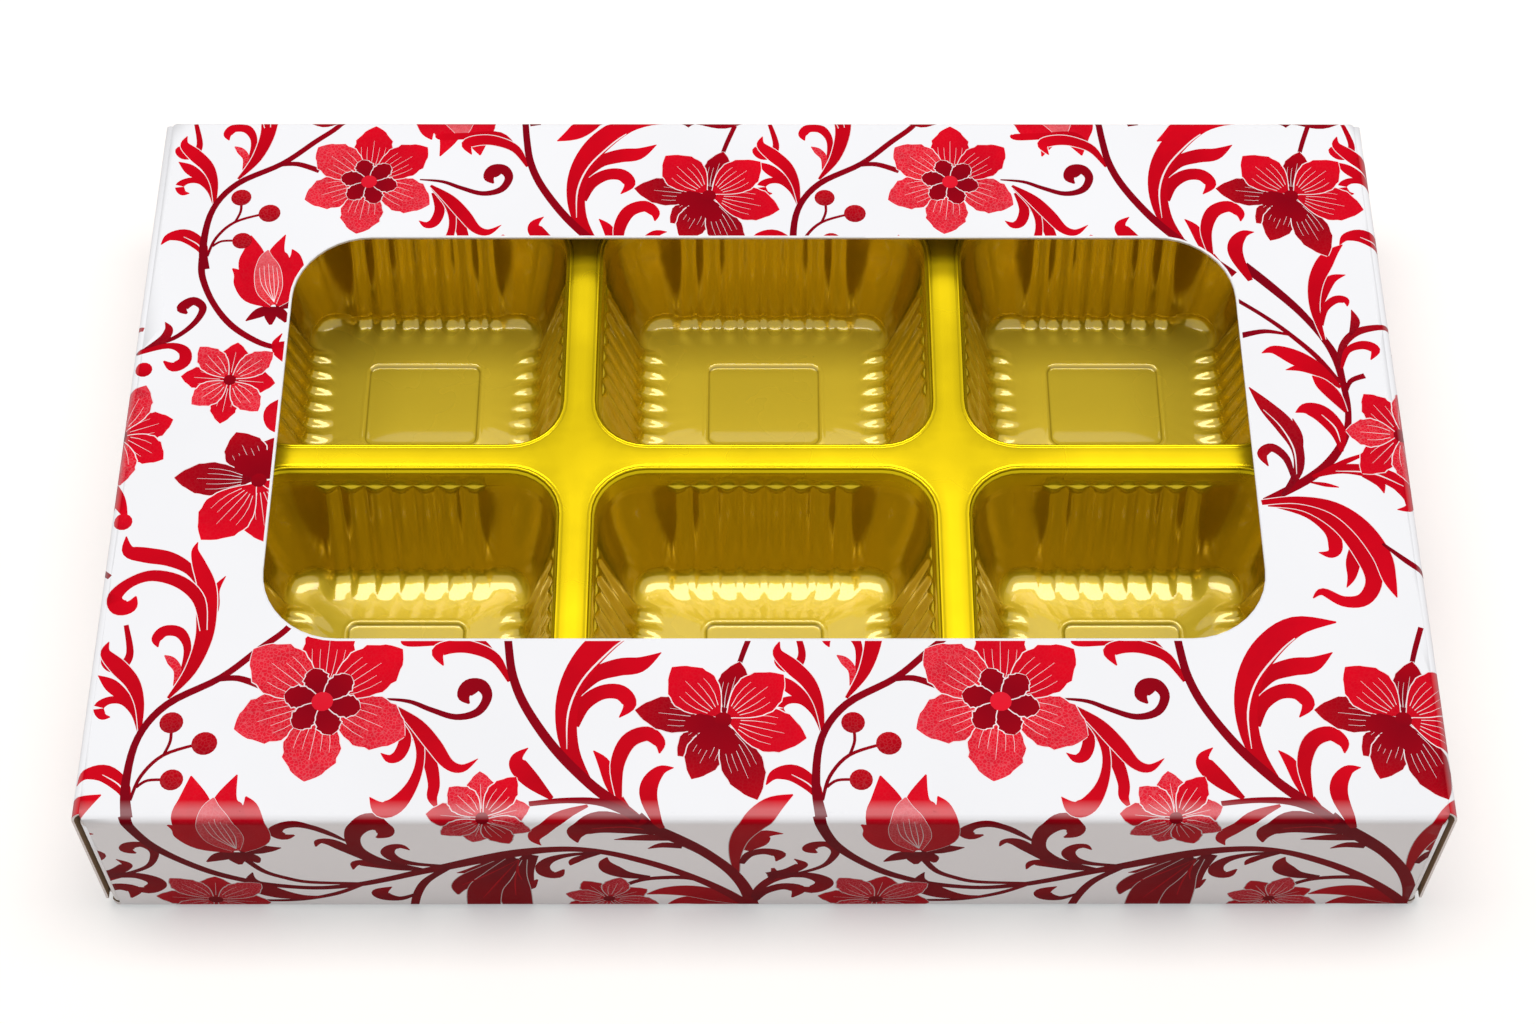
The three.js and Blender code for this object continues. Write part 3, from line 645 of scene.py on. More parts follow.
        self.stroke("leaf", (47, 36.8, .6), (52.4, 35.2, 1.6), (55.8, 32, 2.2), (56.4, 28.8, 2.4),
                    (55.4, 27.4, 1.6), (53.5, 27.7, .15))
        self.stroke("leaf", (46, 37, .8), (52, 36.4, 1.4), (57.4, 33, 2.6), (61, 27.6, 3.6), (62, 22.4, 2.8),
                    (60, 18.8, 2.4), (56.6, 18.4, 2), (53.4, 20.2, 1.4), (51.7, 19, .2), edge=.25)
        self.stroke("leaf", (45, 37.4, 1), (51, 37.9, 1.4), (56.8, 36.4, 2.4), (61, 32.6, 3.2),
                    (63.8, 27.2, 3.2), (64.6, 22.4, 2.2), (65.4, 19.1, .15), edge=.25)
        self.stroke("stem", (64.2, 29.4, .5), (67.8, 26, 1), (71.5, 23, .9))
        self.small_blossom(-20.7, 62.1, 8.4, 85, ("petal", "rose"))
        self.side_blossom(-13.9, 41.8, 12.4, (
            (70, .75, .46, "wine"), (116, .86, .5, "wine"), (178, 1.14, .46, "wine"), (330, .9, .5, "petal"),
            (281, 1.0, .56, "petal"), (234, 1.16, .62, "petal")), 90)
        self.small_blossom(69.8, 50.8, 10, 20, ("petal", "rose"), 7)
        self.bud(-14.6, 77.5, .84)

    def wall_group(self):
        """Repeat of a long wall, drawn with a fuller brush, about the large blossom above it."""
        self.press = WALL_PRESS
        # the leaves that spring from the foot
        self.stroke("leaf", (67.4, -31.1, 1), (68.9, -28.1, 3.4), (70.4, -25.1, 2.4), (73.3, -25, .2))
        self.stroke("leaf", (65.9, -39.1, .8), (65.7, -33.1, 1.6), (66.4, -27.1, 2.6), (68.4, -22.1, 3.6),
                    (71.4, -18.6, 3), (74.8, -16.5, .2), edge=.25)
        self.stroke("dusk", (66.7, -36, .8), (67.9, -32.6, 1.5), (70.4, -31.4, 1.9), (72.7, -32.6, 2),
                    (72.2, -35.1, .2))
        self.stroke("dusk", (57.4, -29.6, 1.4), (54.4, -29.1, 1.6), (51.9, -30.4, .2))
        self.stroke("dusk", (55.4, -26.6, 1.6), (51.4, -26.4, 1.9), (46.7, -27.1, .2))
        self.stroke("dusk", (53.4, -24.3, 2), (49.4, -22.8, 3.8), (44.8, -22, 4.6), (41.6, -23.6, 3.6),
                    (40.7, -25.8, 2), (40.9, -28.2, .2))
        self.stroke("leaf", (53.4, -24.2, .1), (48.6, -22.6, .28), (43.4, -23.2, .1))
        self.stroke("stem", (50.4, -20.4, 2), (54.4, -24.6, 2.5), (58.4, -28.8, 2.3), (61.4, -32.6, 2),
                    (64.9, -38.6, 1.9), (67.2, -45.1, 1.9), (68.4, -52, 2))
        self.stroke("dusk", (68.6, -49, .8), (69.4, -45.6, 1.3), (71.6, -42, 1.8), (74.6, -39.8, 2.2))
        self.stroke("dusk", (71.4, -42.4, .7), (72, -40, 1.2), (71.7, -37.6, .5))
        self.stroke("dusk", (68.9, -50.1, .8), (70.4, -46.6, 1.6), (73.4, -44.6, 2.1), (75.9, -45.8, 2.4),
                    (74.9, -48.9, .3))
        self.stroke("leaf", (66.4, -51.4, 2), (61.4, -50, 3.4), (57.4, -50, 2.4), (54.6, -51.4, .3))
        self.stroke("leaf", (67.6, -51.2, 1.4), (63, -48.4, 3.6), (58.4, -46.4, 3.6), (54.4, -46.4, 2.4),
                    (51.2, -47.6, .2), edge=.2)
        # the curls at the left end
        self.stroke("dusk", (-37.1, -40.4, 2), (-34.1, -39.1, 2), (-32.1, -37.1, 2), (-31.6, -35.9, 1.4),
                    (-32.9, -34.2, .2))
        self.stroke("dusk", (-37.1, -40.9, 1.6), (-33.6, -40.4, 1.4), (-30.6, -40.4, 1.9),
                    (-28.3, -42.1, 2.5), (-28.1, -44.1, 2.7), (-30.1, -45.9, 2.3), (-32.4, -44.6, .4))
        self.stroke("dusk", (-34, -40, .5), (-31.1, -39, .8), (-28.1, -36.6, .9), (-26.6, -33.1, 1.2),
                    (-26.5, -30.6, 1.4), (-27.9, -28.8, 1.6), (-29.9, -29.2, 2), (-30.5, -30.8, 2),
                    (-29.3, -32, .4))
        # the palmette
        self.stroke("dusk", (30.4, -33.2, 1.2), (26.4, -36.2, 1.8), (23.6, -38.4, 1.7), (20.9, -39.4, .2))
        self.stroke("dusk", (33.4, -32.6, 2), (31.4, -38.1, 3.6), (31, -42, 3.8), (32, -44.6, 2.4),
                    (33.7, -41.9, .3))
        self.stroke("dusk", (31.4, -34.1, 2), (29.9, -40.1, 3.8), (29.6, -46.1, 4.8), (30, -53, 4), edge=.25)
        self.stroke("dusk", (30.4, -33.6, 2), (26.4, -38.6, 3.6), (22.9, -42.1, 3.8), (20.9, -44.8, 2.4),
                    (20.4, -47.7, .2), edge=.25)
        self.stroke("dusk", (30.6, -34.1, 2), (27.4, -40.6, 4), (25, -45.6, 4.8), (24.2, -53, 4.6), edge=.25)
        for tip_x, tip_y in ((21.4, -44), (24.4, -49), (29.8, -48), (31.2, -42)):
            self.stroke("leaf", (31.2, -34.4, .1), (tip_x * .5 + 15.2, tip_y * .5 - 18, .26),
                        (tip_x, tip_y, .1))
        # along the wall
        self.stroke("stem", (-29.2, -20.1, 1.7), (-28.1, -24.6, 1.6), (-26.4, -29.1, 1.6),
                    (-23.1, -34.1, 1.5), (-18.6, -38.9, 1.5), (-14.1, -41.9, 1.4), (-9.6, -43.9, 1.3),
                    (-2.6, -45.1, 1.2), (3.9, -44, 1.4), (9.9, -41.6, 1.5), (14.9, -39.1, 1.7),
                    (19.4, -37.1, 2), (25.4, -34.3, 2.3), (30.4, -32.2, 2.3), (35.4, -30.9, 1.9),
                    (40.4, -30.6, 1.6), (45.4, -31.9, 1.5), (50.4, -34.6, 1.6), (55.4, -38.1, 1.6),
                    (60.4, -42.6, 1.6), (64.4, -47.1, 1.7), (67.9, -52, 1.8))
        self.stroke("stem", (-12.4, -34, 1), (-10.1, -38.6, 1), (-7.1, -41.1, 1), (-3.1, -42.9, 1),
                    (4.9, -43.4, .8))
        self.stroke("stem", (-13, -49.9, .7), (-7.6, -49.9, .8), (-3.6, -49.1, .9), (.9, -47.1, 1),
                    (5, -44, .8))
        self.stroke("dusk", (-11.9, -39.2, .15), (-12.5, -42, 1.7), (-11.4, -45, 3.6), (-8.6, -47.4, 3),
                    (-5, -48.6, 1.4), (-1.6, -48.4, .4))
        self.stroke("dusk", (4.7, -27.8, .4), (2.4, -25.1, 1.1), (-.1, -22.8, 1.4), (-2.6, -21.8, 1.5),
                    (-5.1, -22.4, 1.8), (-6.2, -24.3, 2.1), (-5.1, -26, 2), (-3.3, -25.4, .4))
        self.stroke("dusk", (6.9, -34.1, 1.2), (3.9, -30.1, 2.1), (1.9, -27.9, 2), (.2, -27.8, 1.3),
                    (-.5, -29.6, .2))
        self.stroke("dusk", (15.4, -38.1, 1), (11.4, -37.4, 1.7), (7.4, -35.9, 2.2), (5.1, -35.8, 1.5),
                    (4.4, -38.1, .2))
        self.stroke("dusk", (15.4, -38.3, 1.2), (9.9, -35.8, 2.1), (7.2, -33.4, 2.4), (5.8, -30.1, 2),
                    (5.7, -26.1, 2.3), (7, -22.8, 3.2), (9.1, -21.6, 3.4), (10.9, -23, 2.8),
                    (10.8, -25.2, 2.2), (9.4, -26.4, .4))
        self.stroke("dusk", (19.9, -36.9, .8), (14.9, -36.1, 1.1), (11.9, -34.6, 1.7), (10.6, -32.1, 2),
                    (11.3, -30, 1.7), (12.9, -29.5, 1.3), (14.2, -30.9, .2))
        self.stroke("stem", (19.9, -37.2, 1.1), (15.9, -42.1, 1.3), (13.9, -47.1, 1.3), (12.7, -53, 1.2))
        self.stroke("dusk", (13.6, -47.4, .6), (10.9, -49.2, 1.3), (8.4, -48.4, 2.5), (7.9, -46.6, 2.4),
                    (9.9, -44.7, .2))
        self.stroke("dusk", (44.4, -32, .6), (41.4, -33.6, 1.4), (39.9, -35.1, 1.4), (39.3, -36.6, .2))
        self.stroke("dusk", (43.9, -31.8, .6), (39.4, -32.7, 1.1), (36.4, -34.3, 1.6), (34.9, -36.8, 2),
                    (35.2, -39.4, 2.3), (36.9, -40.2, 2), (38.2, -38.1, .3))
        self.stroke("dusk", (51.9, -41.1, 1), (48.2, -40.2, 2.2), (45.8, -38.1, 3), (44.9, -35.6, 1.8),
                    (45.3, -33.6, .2))
        self.stroke("stem", (45.9, -47.1, .8), (48.4, -43.6, .9), (51.9, -41.6, 1.1), (57.4, -41.2, 1.2),
                    (60.8, -42.8, 1))
        self.small_blossom(45, -49.3, 7.8, 30, ("petal", "rose"), 8)
        self.small_blossom(-19.4, -49.6, 9.6, 82, ("petal", "rose"), 8)
        self.bud(-13.2, -31.6, 1)


def printed_patches(low, high):
    """Patches of the scroll that touch the rectangle from low to high on the unfolded lid.

    The back wall is the front wall turned half round, which is what its scale of -1 does.
    """
    scroll = settings().scroll
    start_x, start_y = scroll.start_x / MM, scroll.start_y / MM
    pitch, back_pitch = scroll.repeat_x / MM, scroll.back_repeat / MM
    back = scroll.repeat_y / MM
    front_row = (0.0, 1.0, pitch)
    back_row = (back, BACK_SCALE, back_pitch)
    everywhere = range(-2, 4)

    def put(point, scale, shift):
        """A point of the drawing on the unfolded lid."""
        return point[0] * scale + shift[0], point[1] * scale + shift[1]

    found = []
    for draw_group, rows, columns in (
            (Scroll.wall_group, (front_row, (-2 * start_y, -1.0, pitch)), everywhere),
            (Scroll.side_group, (front_row,), everywhere),
            (Scroll.lid_group, (front_row, back_row), everywhere),
            (Scroll.turned_group, (front_row, back_row), range(4)),
            (Scroll.large_blossom, (front_row, (back, BACK_BLOSSOM, back_pitch)), everywhere)):
        drawing = Scroll((scroll.petal, scroll.rose, scroll.leaf, scroll.wine))
        draw_group(drawing)
        for row, scale, repeat in rows:
            for column in columns:
                shift = (start_x + column * repeat, start_y + row)
                for corners, foot, tip, start, end, engraving in drawing.patches:
                    moved = [put(corner, scale, shift) for corner in corners]
                    xs, ys = zip(*moved)
                    if max(xs) > low[0] and min(xs) < high[0] and max(ys) > low[1] and min(ys) < high[1]:
                        found.append((moved, foot, tip, put(start, scale, shift), put(end, scale, shift),
                                      engraving))
    return found


class FoldPath:
    """Cross-section of folded board: flats and quarter turns, walked on its outer face."""

    def __init__(self, start, heading, normal, steps):
        point, heading, normal = (np.array(v, float) for v in (start, heading, normal))
        self.pieces = []
        self.turns = []
        walked = 0.0
        for kind, size in steps:
            length = size if kind == "flat" else size * pi / 2
            self.pieces.append((walked, walked + length, kind, size, point, heading, normal))
            if kind == "flat":
                point = point + heading * size
            else:
                self.turns.append((walked, walked + length))
                point = point - normal * size + heading * size
                heading, normal = -normal, heading
            walked += length
        self.length = walked

    def at(self, distance, depth):
        """Points at distances along the path, depth below the outer face."""
        distance = np.asarray(distance, float)
        depth = np.broadcast_to(np.asarray(depth, float), distance.shape)
        points = np.zeros(distance.shape + (2,))
        for i, (first, last, kind, size, point, heading, normal) in enumerate(self.pieces):
            here = distance >= first - 1e-9 if i else np.ones(distance.shape, bool)
            along = distance[here] - first
            below = depth[here][:, None]
            if kind == "flat":
                points[here] = point + along[:, None] * heading - below * normal
            else:
                angle = np.clip(along / size, 0, pi / 2)[:, None]
                out = normal * np.cos(angle) + heading * np.sin(angle)
                points[here] = point - normal * size + out * (size - below)
        return points


def rounded_loop(low, high, radius, steps=10):
    """Counter-clockwise rounded rectangle."""
    points = []
    for k, (cx, cy) in enumerate(((high[0] - radius, low[1] + radius), (high[0] - radius, high[1] - radius),
                                  (low[0] + radius, high[1] - radius), (low[0] + radius, low[1] + radius))):
        for step in range(steps + 1):
            angle = (k - 1 + step / steps) * pi / 2
            points.append((cx + radius * cos(angle), cy + radius * sin(angle)))
    return points


def loop_edges(loops):
    """Pairs of points along closed loops."""
    return [(a, b) for loop in loops for a, b in zip(loop, loop[1:] + loop[:1])]


def inside(points, border):
    """Which points a border of edges encloses an odd number of times."""
    odd = np.zeros(len(points), bool)
    x, y = points[:, 0], points[:, 1]
    for (ax, ay), (bx, by) in border:
        if ay != by:
            crosses = (ay > y) != (by > y)
            odd ^= crosses & (x < ax + (y - ay) * (bx - ax) / (by - ay))
    return odd


def triangulate(border, lines=(), patches=()):
    """Triangles inside a border, cut along lines and patches, with the topmost patch of each."""
    points, edges, faces = [], [], []
    for pair in [*border, *lines]:
        edges.append((len(points), len(points) + 1))
        points += pair
    for corners in patches:
        faces.append(list(range(len(points), len(points) + len(corners))))
        points += corners
    spots, _, triangles, _, _, sources = delaunay_2d_cdt(
        [Vector(p) for p in points], edges, faces, 0, JOIN_GAP, True)
    flat = np.array([tuple(p) for p in spots])
    triangles = np.array(triangles, int)
    a, b, c = (flat[triangles[:, i]] for i in range(3))
    clockwise = twice_area(a.T, b.T, c.T) < 0
    triangles[clockwise] = triangles[clockwise][:, ::-1]
    middle = (a + b + c) / 3
    chosen = inside(middle, border)
    tops = np.array([next((k for k in sorted(ids, reverse=True) if covers(patches[k], at)), -1)
                     for ids, at in zip(sources, middle)], int)
    used, compact = np.unique(triangles[chosen], return_inverse=True)
    return flat[used], compact.reshape(-1, 3), tops[chosen]


def rim_edges(triangles):
    """Directed edges that only one triangle has."""
    edges = {(int(t[i]), int(t[(i + 1) % 3])) for t in triangles for i in range(3)}
    return [(a, b) for a, b in sorted(edges) if (b, a) not in edges]


def board_shell(name, loops, lines, place, materials, patches=(), inking=None):
    """Closed piece of board: printed outer skin, plain inner skin and cut edges.

    loops and lines lie on the unfolded outer face; place(points, depth) folds them up, in millimetres.
    """
    thickness = settings().board.thickness / MM
    outer, faces, tops = triangulate(loop_edges(loops), lines, [p[0] for p in patches])
    rim = rim_edges(faces)
    inner, inner_faces, _ = triangulate([(tuple(outer[a]), tuple(outer[b])) for a, b in rim], lines)
    partner = {}
    for vertex in {a for a, _ in rim}:
        gap = np.abs(inner - outer[vertex]).sum(1)
        partner[vertex] = int(gap.argmin())
        if gap.min() > RIM_GAP:
            raise RuntimeError(f"{name}: the two skins don't meet at {outer[vertex]}")
    count = len(outer)
    corners = np.vstack([place(outer, 0.0), place(inner, thickness)]) * MM
    polygons = [tuple(map(int, f)) for f in faces]
    polygons += [tuple(int(i) + count for i in f[::-1]) for f in inner_faces]
    polygons += [(b, a, partner[a] + count, partner[b] + count) for a, b in rim]
    volume = sum(float(np.dot(corners[p[0]], np.cross(corners[p[i]], corners[p[i + 1]])))
                 for p in polygons for i in range(1, len(p) - 1))
    mirrored = volume < 0
    if mirrored:
        polygons = [p[::-1] for p in polygons]
    mesh = bpy.data.meshes.new(name)
    mesh.from_pydata(corners.tolist(), [], polygons)
    for material in materials:
        mesh.materials.append(material)
    kinds = np.repeat([0, 1, 2], [len(faces), len(inner_faces), len(rim)])
    mesh.polygons.foreach_set("material_index", kinds.astype(np.int32))
    mesh.polygons.foreach_set("use_smooth", kinds < 2)
    paint_ink(mesh, outer, faces, tops, patches, mirrored, inking)
    mesh.validate()
    piece = bpy.data.objects.new(name, mesh)
    bpy.context.scene.collection.objects.link(piece)
    return piece


def paint_ink(mesh, flat, faces, tops, patches, mirrored, inking):
    """Stores the ink under each corner of the outer skin, with its coverage, and the engraving's depth.

    inking(points) gives the lightness of the inks, darkened as painted shade on the walls, and their
    coverage, lowered as a painted highlight beside the folds; where that is 0 nothing is printed.
    """
    ink = np.zeros((len(mesh.loops), 4), np.float32)
    engraving = np.zeros(len(mesh.loops), np.float32)
    light, cover = inking(flat) if inking else np.ones((2, len(flat)))
    for face, (corner_ids, top) in enumerate(zip(faces, tops)):
        if top < 0 or cover[corner_ids].min() <= 0:
            continue
        _, foot, tip, start, end, depth = patches[top]
        start, along = np.array(start), np.array(end) - np.array(start)
        order = corner_ids[::-1] if mirrored else corner_ids
        share = np.clip((flat[order] - start) @ along / max(along @ along, 1e-9), 0, 1)[:, None]
        colour = np.array(foot) * (1 - share) + np.array(tip) * share
        corners = slice(face * 3, face * 3 + 3)
        ink[corners, :3] = colour * light[order][:, None]
        ink[corners, 3] = cover[order]
        engraving[corners] = depth
    mesh.attributes.new("ink", "FLOAT_COLOR", "CORNER").data.foreach_set("color", ink.ravel())
    mesh.attributes.new("engraving", "FLOAT", "CORNER").data.foreach_set("value", engraving)


def sleeve_paths(board):
    """Cross-section from the middle of the lid to the front and on to the seam flap, and to the back."""
    radius = board.fold_radius / MM
    lid = HALF_DEPTH - radius
    wall = HEIGHT - 2 * radius
    base = lid + SEAM_FACE - radius
    front = FoldPath((0, HEIGHT), (-1, 0), (0, 1), [
        ("flat", lid), ("turn", radius), ("flat", wall), ("turn", radius), ("flat", base), ("turn", radius),
        ("flat", SEAM_TOP - radius)])
    back = FoldPath((0, HEIGHT), (1, 0), (0, 1), [
        ("flat", lid), ("turn", radius), ("flat", HEIGHT - radius - BACK_FOOT)])
    return front, back


def fold_lines(turns, reach, sign=1, upright=True):
    """Lines that cut each turn into even facets; they overshoot the outline a little."""
    lines = []
    for first, last in turns:
        for step in range(FOLD_FACETS + 1):
            at = sign * (first + (last - first) * step / FOLD_FACETS)
            lines.append([(-reach, at), (reach, at)] if upright else [(at, -reach), (at, reach)])
    return lines


def make_sleeve(board, materials):
    """Lid, front, base, seam flap and back as one folded tube with the window cut in its lid."""
    front, back = sleeve_paths(board)
    radius = board.fold_radius / MM
    lid_end = HALF_LENGTH - radius
    wall_end = TUBE_END - board.dust_fold / MM
    (lid_front, wall_top), (wall_foot, base_front), (base_back, seam_foot) = [
        (-first, -last) for first, last in front.turns]
    lid_back, back_top = back.turns[0]
    seam_in = (SEAM_TOP - radius) * np.tan(radians(SEAM_TAPER))
    right = [
        (SEAM_HALF - seam_in, -front.length), (SEAM_HALF, seam_foot), (BASE_HALF, base_back),
        (BASE_HALF, base_front), (wall_end, wall_foot), (wall_end, wall_top), (lid_end, lid_front),
        (lid_end, lid_back), (wall_end, back_top), (wall_end, back.length)]
    outline = right + [(-x, v) for x, v in right[::-1]]

    def window_loop(grow):
        """The window's outline, grown all round."""
        return rounded_loop(
            (board.window_end / MM - HALF_LENGTH - grow, board.window_front / MM - HALF_DEPTH - grow),
            (HALF_LENGTH - board.window_end / MM + grow, HALF_DEPTH - board.window_back / MM + grow),
            board.window_radius / MM + grow)

    reach = HALF_LENGTH + 1
    lines = fold_lines(front.turns, reach, sign=-1) + fold_lines(back.turns, reach)
    lines += [((-reach, lid_front - step), (reach, lid_front - step)) for step in FADE_STEPS]
    lines += loop_edges([window_loop(BARE_EDGE_HIGHLIGHT)])

    def place(points, depth):
        x, v = points[:, 0], points[:, 1]
        folded = np.where((v < 0)[:, None], front.at(-v, depth), back.at(v, depth))
        return np.column_stack([x, folded])

    patches = printed_patches((-lid_end, base_front), (lid_end, back.length))
    scroll = settings().scroll

    def inking(points):
        """Inks are darkened over the folds to the walls as painted shade, paled beside the front fold as a
        painted highlight, and stop short of the window and at the base.
        """
        v = points[:, 1]
        past = np.maximum(lid_front - v, v - lid_back)
        # Painted shade: the inks darken over the folds onto the walls.
        light = np.interp(past, [0, lid_front - wall_top], [1, scroll.wall_ink_shade])
        # Painted highlight: the inks beside the front fold are paled.
        cover = np.interp(lid_front - v, FADE_STEPS, [1, scroll.crease_rub_highlight, scroll.crease_rub_highlight, 1])
        # The white margin round the window is a painted highlight of its pressed cut edge.
        bare = inside(points, loop_edges([window_loop(BARE_EDGE_HIGHLIGHT - 0.05)])) | (v < base_front - 1e-3)
        return light, np.where(bare, 0, cover)

    loops = [outline, window_loop(0.0)]
    sleeve = board_shell("carton_sleeve", loops, lines, place, materials, patches, inking)
    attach(sleeve, "carton")
    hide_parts("top_panel", "front_panel", "back_panel", "bottom_panel", "glue_flap")


def closure_path(board):
    """Where a closure flap starts, and its cross-section from the lid's crease down to the tongue's."""
    radius = board.fold_radius / MM
    start = HALF_LENGTH - radius
    drop = HEIGHT - radius - TONGUE_LEVEL - board.tongue_fold / MM
    return start, FoldPath((start, HEIGHT), (1, 0), (0, 1), [("turn", radius), ("flat", drop)])


def end_board(name, side, path, start, half, half_width, materials, inking):
    """Printed board of one end, folded along a path that leaves the unfolded lid at start.

    half is the outline behind the middle of the box, and half_width is how far the print runs to either side.
    """
    sign = SIDES[side]
    outline = [(sign * u, -y) for u, y in half] + [(sign * u, y) for u, y in half[::-1]]
    lines = [[(sign * (u + start), y) for u, y in line]
             for line in fold_lines(path.turns, HALF_DEPTH + 1, upright=False)]
    ends = sorted((sign * start, sign * (start + path.length)))
    patches = printed_patches((ends[0], -half_width), (ends[1], half_width))

    def place(points, depth):
        folded = path.at(np.abs(points[:, 0]) - start, depth)
        return np.column_stack([sign * folded[:, 0], points[:, 1], folded[:, 1]])

    return board_shell(name, [outline], lines, place, materials, patches, inking)


def make_closure(side, board, materials):
    """Closure flap of one end, from the lid's crease down to the tongue's."""
    sign, radius = SIDES[side], board.fold_radius / MM
    start, path = closure_path(board)
    crease = start + path.turns[0][1]
    half = [(start, HALF_DEPTH - radius), (crease, CLOSURE_HALF), (start + path.length, CLOSURE_HALF)]
    scroll = settings().scroll

    def inking(points):
        """Inks are darkened round the crease as painted shade, and paled in its middle as a painted
        highlight, also read as rubbed ink.
        """
        u = np.abs(points[:, 0])
        return (np.interp(u, [start, crease], [1, scroll.wall_ink_shade]),
                np.interp(u, [start, (start + crease) / 2, crease], [1, scroll.crease_rub_highlight, 1]))

    flap = end_board(f"{side}_closure_board", side, path, start, half, CLOSURE_HALF, materials, inking)
    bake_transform(flap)
    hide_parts(f"{side}_closure_flap")


def make_tongue(side, board, materials):
    """Tongue of one end, from the foot of the closure flap to its rounded tip over the base."""
    sign, tuck = SIDES[side], board.tongue_fold / MM
    closure_start, closure = closure_path(board)
    start = closure_start + closure.length
    path = FoldPath((HALF_LENGTH, TONGUE_LEVEL + tuck), (0, -1), (1, 0), [
        ("turn", tuck), ("flat", HALF_LENGTH - tuck - TONGUE_TIP)])
    tip = start + path.length
    half = [(start, TONGUE_HALF), (start + path.turns[0][1], TONGUE_HALF)]
    for step in range(11):
        angle = radians(90 - 9 * step)
        half.append((tip - TONGUE_CORNER * (1 - cos(angle)), TONGUE_HALF - TONGUE_CORNER * (1 - sin(angle))))
    wall_ink_shade = settings().scroll.wall_ink_shade

    # Painted shade: the tongue's inks are darkened all over, as on the walls.
    def inking(points):
        return np.full(len(points), wall_ink_shade), np.ones(len(points))

    tongue = end_board(f"{side}_tongue_board", side, path, start, half, TONGUE_HALF, materials, inking)
    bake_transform(tongue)
    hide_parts(f"{side}_tuck_tongue")


def make_dust_flap(side, edge, board, materials):
    """Tapered dust flap, from its upright crease inwards."""
    sign, depth_sign = SIDES[side], EDGES[edge]
    fold = board.dust_fold / MM
    low, high = span(f"{side}_{edge}_dust_flap")
    reach = HALF_DEPTH - min(abs(low[1]), abs(high[1]))
    path = FoldPath((TUBE_END - fold, HALF_DEPTH), (1, 0), (0, 1), [("turn", fold), ("flat", reach - fold)])
    crease, tip = path.turns[0][1], path.length
    foot_slope, head_slope = (np.tan(radians(taper)) for taper in (DUST_FOOT_TAPER, DUST_HEAD_TAPER))
    tip_foot = low[2] + (tip - crease) * foot_slope
    tip_head = high[2] - (tip - crease) * head_slope
    shoulder = tip - DUST_CORNER
    outline = [(0.0, low[2]), (crease, low[2]), (shoulder, tip_foot - DUST_CORNER * foot_slope)]
    outline += [(tip - DUST_CORNER * (1 - sin(a)), tip_foot + DUST_CORNER * (1 - cos(a)))
                for a in np.linspace(0.2, pi / 2, 7)]
    outline += [(tip - DUST_CORNER * (1 - cos(a)), tip_head - DUST_CORNER * (1 - sin(a)))
                for a in np.linspace(0, pi / 2 - 0.4, 6)]
    outline += [(shoulder, tip_head + DUST_CORNER * head_slope), (crease, high[2]), (0.0, high[2])]

    def place(points, depth):
        folded = path.at(points[:, 0], depth)
        return np.column_stack([sign * folded[:, 0], depth_sign * folded[:, 1], points[:, 1]])

    lines = fold_lines(path.turns, HEIGHT + 1, upright=False)
    flap = board_shell(f"{side}_{edge}_dust_board", [outline], lines, place, materials)
    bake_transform(flap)
    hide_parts(f"{side}_{edge}_dust_flap")


def ring_layout(width, length):
    """Stations round a cavity: corner stations as angles, fluted stations as runs with a phase."""
    stations = []
    for side in range(4):
        stations += [(side, "corner", (side - 1 + step / CORNER_STEPS) * pi / 2, 0.0)
                     for step in range(CORNER_STEPS + 1)]
        across, pitch = (width, LONG_PITCH) if side % 2 else (length, SHORT_PITCH)
        count = int((across - 2 * PLAIN_CORNER) / pitch)
        for step in range(count * FLUTE_STEPS + 1):
            phase = step / FLUTE_STEPS
            stations.append((side, "run", (phase - count / 2) * pitch, phase))
    return stations


def ring_points(stations, half_x, half_y, radius):
    """Rounded rectangle through the stations, with the outward direction at each."""
    points, outward = [], []
    longest_run = [max(abs(run) for s, kind, run, _ in stations if s == side and kind == "run")
                   for side in range(4)]
    for side, kind, value, _ in stations:
        normal = np.array([cos(side * pi / 2), sin(side * pi / 2)])
        along = np.array([-normal[1], normal[0]])
        reach, across = (half_y, half_x) if side % 2 else (half_x, half_y)
        if kind == "corner":
            out = np.array([cos(value), sin(value)])
            points.append(normal * (reach - radius) + along * (radius - across) + out * radius)
            outward.append(out)
        else:
            fit = min(1.0, (across - radius) * RUN_FIT / longest_run[side])
            points.append(normal * reach + along * value * fit)
            outward.append(normal)
    return np.array(points), np.array(outward)


def cavity_rings(width, length):
    """Levels of a cavity from its mouth to its foot: half sizes, height, corner, flute weight, tilt."""
    half_x, half_y = width / 2, length / 2
    rings = []

    def level(inset, z, corner, weight=0.0, tilt=0.0):
        """Adds a level that lies inside the mouth's outline by inset."""
        rings.append((half_x - inset, half_y - inset, z, corner, weight, tilt))

    for out, drop in MOUTH_PROFILE:
        level(-out, -drop, MOUTH_CORNER + out)
    walls = [between(FLUTE_TOPS[-1], WALL_FOOT, step / WALL_STEPS) for step in range(1, WALL_STEPS + 1)]
    for inset, drop, corner, weight, tilt in (*FLUTE_TOPS, *walls, *HEEL_PROFILE):
        level(inset, -drop, corner, weight, tilt)
    for grow, drop, corner in FOOT_PROFILE:
        rings.append((FOOT_HALF[0] + grow, FOOT_HALF[1] + grow, -CAVITY_DEPTH - drop, corner, 0.0, 0.0))
    return rings


